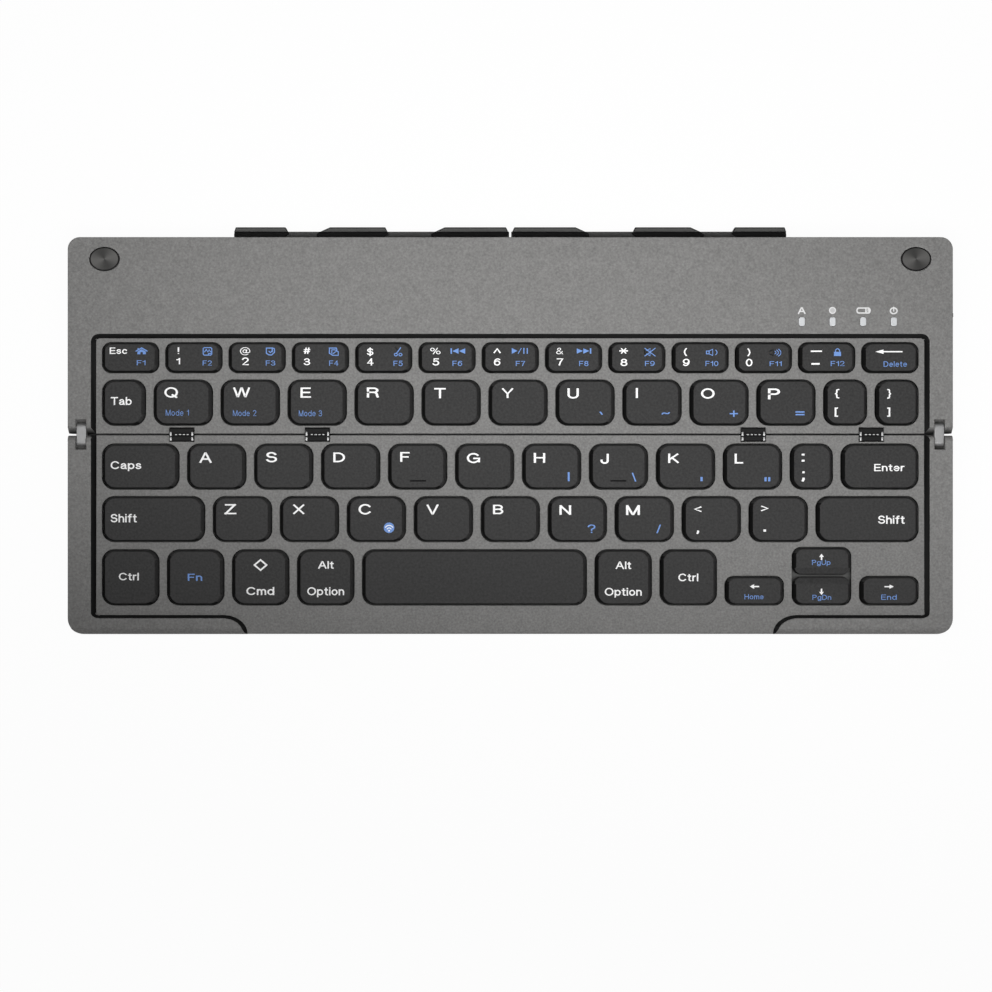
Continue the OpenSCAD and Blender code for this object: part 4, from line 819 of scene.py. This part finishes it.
# Panel signs over the four windows
panelSigns = {
    "panelInk": [("@capsA", 81.3, 34.1, 2.2, 1.85), ("@battery", 97.8, 34.15, 4.1, 1.75),
                 ("@power", 107.2, 34.05, 2.4, 1.95), ("@ring", 90.1, 34.05, 2.0, 2.0)],
    "badgeInk": [("@badge", 90.4, 34.35, 1.4, 1.4)],
}
for material, entries in panelSigns.items():
    bm = bmesh.new()
    for entry in entries:
        addInk(bm, *entry, heights["border"] - covers["sink"])
    finishMesh(bm, material.replace("Ink", "Signs"), "rear_half", [material])
print("ink is in place")


# Bridges over the fold: a black strap, steel posts at its ends and a row of small pale pins on the fold
# that stand in for glints, as painted highlight
bridges = {
    "at": (-93.2, -54.7, 68.9, 102.4), "wide": 6.9, "deep": 3.9, "foot": 4.6, "top": 5.85, "groove": 5.6,
    "cut": 0.3, "grooveTop": 0.5, "grooveFoot": 0.3, "edge": 0.1,
    "posts": ((-1.75, -0.7), (-0.4, 0.75)), "postWide": 0.55, "postTop": 6.05, "postSink": 0.2,
    "postInset": 0.12, "postEdge": 0.12,
    "pins": (-1.85, -0.75, 0.35, 1.45), "pinWide": 0.62, "pinDeep": 0.3, "pinTop": 5.95, "pinSink": 0.1,
    "pinEdge": 0.06,
}


def addBox(bm, low, high, edge):
    made = bmesh.new()
    addSolid(made, block(low[0], low[1], high[0], high[1]), low[2], high[2])
    bmesh.ops.bevel(made, geom=made.edges[:], offset=edge * mm, segments=2, profile=0.5, affect="EDGES")
    data = bpy.data.meshes.new("part")
    made.to_mesh(data)
    made.free()
    bm.from_mesh(data)
    bpy.data.meshes.remove(data)


straps, pins = bmesh.new(), bmesh.new()
halfDeep, shoulder = bridges["deep"] / 2, bridges["top"] - bridges["cut"]
profile = [(-halfDeep, bridges["foot"]), (halfDeep, bridges["foot"]), (halfDeep, shoulder),
           (halfDeep - bridges["cut"], bridges["top"]), (bridges["grooveTop"], bridges["top"]),
           (bridges["grooveFoot"], bridges["groove"]), (-bridges["grooveFoot"], bridges["groove"]),
           (-bridges["grooveTop"], bridges["top"]), (bridges["cut"] - halfDeep, bridges["top"]),
           (-halfDeep, shoulder)]
for x in bridges["at"]:
    ends = [[straps.verts.new(((x + side * bridges["wide"] / 2) * mm, v * mm, w * mm)) for v, w in profile]
            for side in (-1, 1)]
    straps.faces.new(ends[0])
    straps.faces.new(ends[1][::-1])
    for i in range(len(profile)):
        j = (i + 1) % len(profile)
        straps.faces.new((ends[0][i], ends[1][i], ends[1][j], ends[0][j]))
    for side in (-1, 1):
        edge = x + side * (bridges["wide"] / 2 - bridges["postInset"] - bridges["postWide"] / 2)
        for low, high in bridges["posts"]:
            addBox(pins, (edge - bridges["postWide"] / 2, low, bridges["groove"] - bridges["postSink"]),
                   (edge + bridges["postWide"] / 2, high, bridges["postTop"]), bridges["postEdge"])
    # Painted highlight: pale pins on the fold where the strap catches light
    for along in bridges["pins"]:
        addBox(pins, (x + along, -bridges["pinDeep"] / 2, bridges["groove"] - bridges["pinSink"]),
               (x + along + bridges["pinWide"], bridges["pinDeep"] / 2, bridges["pinTop"]),
               bridges["pinEdge"])
bmesh.ops.recalc_face_normals(straps, faces=straps.faces)
soften(straps, bridges["edge"], 2)
finishMesh(straps, "seamBridges", "hinge_links", ["bridgeRubber"], ["seam_bridges"])
finishMesh(pins, "bridgePins", "hinge_links", ["pinMetal"])

# Grips: black rubber, with painted light on the raised rib: its top is a paler inset pad
grips = {"edge": 0.16, "steps": 2, "frame": 0.18, "sink": 0.05, "level": 0.98, "near": 0.05}
for label in ("left", "right"):
    node = "stand_grips_" + label
    bm = shapeOf(node)
    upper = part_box(node)[1].z
    soften(bm, grips["edge"], grips["steps"])
    paintedLitTops = [f for f in bm.faces if f.normal.z > grips["level"] and f.calc_area() > 1e-6
            and all(v.co.z > upper - grips["near"] * mm for v in f.verts)]
    bmesh.ops.inset_individual(bm, faces=paintedLitTops, thickness=grips["frame"] * mm, depth=-grips["sink"] * mm)
    for face in paintedLitTops:
        face.material_index = 1
    finishMesh(bm, "grips" + label.title(), "stand_" + label, ["gripRubber", "gripPad"], [node])

# Fittings: the CAD shapes with their edges rounded
fittings = [
    # node, name, body, slot, material, radius, steps
    ("side_links", "sideLinks", "hinge_links", "link", "linkMetal", 0.25, 3),
    ("indicator_windows", "indicatorWindows", "rear_half", "window", "windowLens", 0.12, 2),
    # The stand leaves take their grey with painted shade
    ("stand_leaf_left", "leafLeft", "stand_left", "case", "leafPaint", 0.15, 2),
    ("stand_leaf_right", "leafRight", "stand_right", "case", "leafPaint", 0.15, 2),
    ("rear_bottom_cover", "rearBottom", "rear_half", "case", "undersidePaint", 0.15, 2),
    ("front_bottom_cover", "frontBottom", "front_half", "case", "undersidePaint", 0.15, 2),
    ("rear_feet", "rearFeet", "rear_half", "rubber", "footRubber", 0.2, 3),
    ("front_feet", "frontFeet", "front_half", "rubber", "footRubber", 0.2, 3),
    ("rear_screws", "rearScrews", "rear_half", "steel", "steelMetal", 0.1, 2),
    ("front_screws", "frontScrews", "front_half", "steel", "steelMetal", 0.1, 2),
    ("power_switch", "powerKnob", "switch_knob", "knob", "knobPlastic", 0.12, 2),
    ("charge_port", "chargePort", "rear_half", "steel", "steelMetal", 0.08, 2),
]
for node, name, body, slot, material, radius, steps in fittings:
    bm = shapeOf(node)
    soften(bm, radius, steps)
    finishMesh(bm, name, body, [material], [node])

# Discs: one object for each, so that its rings turn round its own middle
discs = {"edge": 0.12, "steps": 2}
low, high = (Vector(corner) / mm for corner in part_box("corner_discs"))
for side, label in ((-1, "Left"), (1, "Right")):
    bm = shapeOf("corner_discs")
    far = [v for v in bm.verts if v.co.x * side < 0]
    bmesh.ops.delete(bm, geom=far, context="VERTS")
    soften(bm, discs["edge"], discs["steps"], lambda ends: all(v.z > high.z - 0.01 for v in ends))
    near = min(v.co.x * side for v in bm.verts) / mm
    centre = (side * (near + high.x) / 2, (low.y + high.y) / 2)
    radii = ((high.x - near) / 2, (high.y - low.y) / 2)
    finish = spunFinishWithPaintedSheen("spunSteel" + label, centre, radii)
    finishMesh(bm, "disc" + label, "rear_half", [finish], ["corner_discs"])
print("fittings are dressed")

# Levers lie folded, so that a pressed key clears them
levers = {"travel": 1.25, "wall": 1.0}
for label in ("rear", "front"):
    node = label + "_scissors"
    bm = shapeOf(node)
    low, high = (corner.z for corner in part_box(node))
    room = (heights["keyTop"] - levers["wall"] - levers["travel"]) * mm
    for vert in bm.verts:
        vert.co.z = low + (vert.co.z - low) * (room - low) / (high - low)
    finishMesh(bm, label + "Levers", label + "_half", ["leverPlastic"], [node])

# What stays as the CAD has it gets its finish here
carried = {
    "rear_base_plate": "steelMetal", "front_base_plate": "steelMetal", "rear_membrane": "filmPlastic",
    "front_membrane": "filmPlastic", "rear_dome_sheet": "domeSilicone", "front_dome_sheet": "domeSilicone",
    "main_board": "boardLaminate", "battery": "batteryFoil",
    "rear_hinge_pins": "steelMetal", "front_hinge_pins": "steelMetal",
    "corner_magnets": "magnetNickel", "space_bar_wire": "steelMetal", "stand_rod": "steelMetal",
}
for node, material in carried.items():
    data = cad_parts[node].data
    data.materials.clear()
    data.materials.append(paint[material])

print("the keyboard is complete")
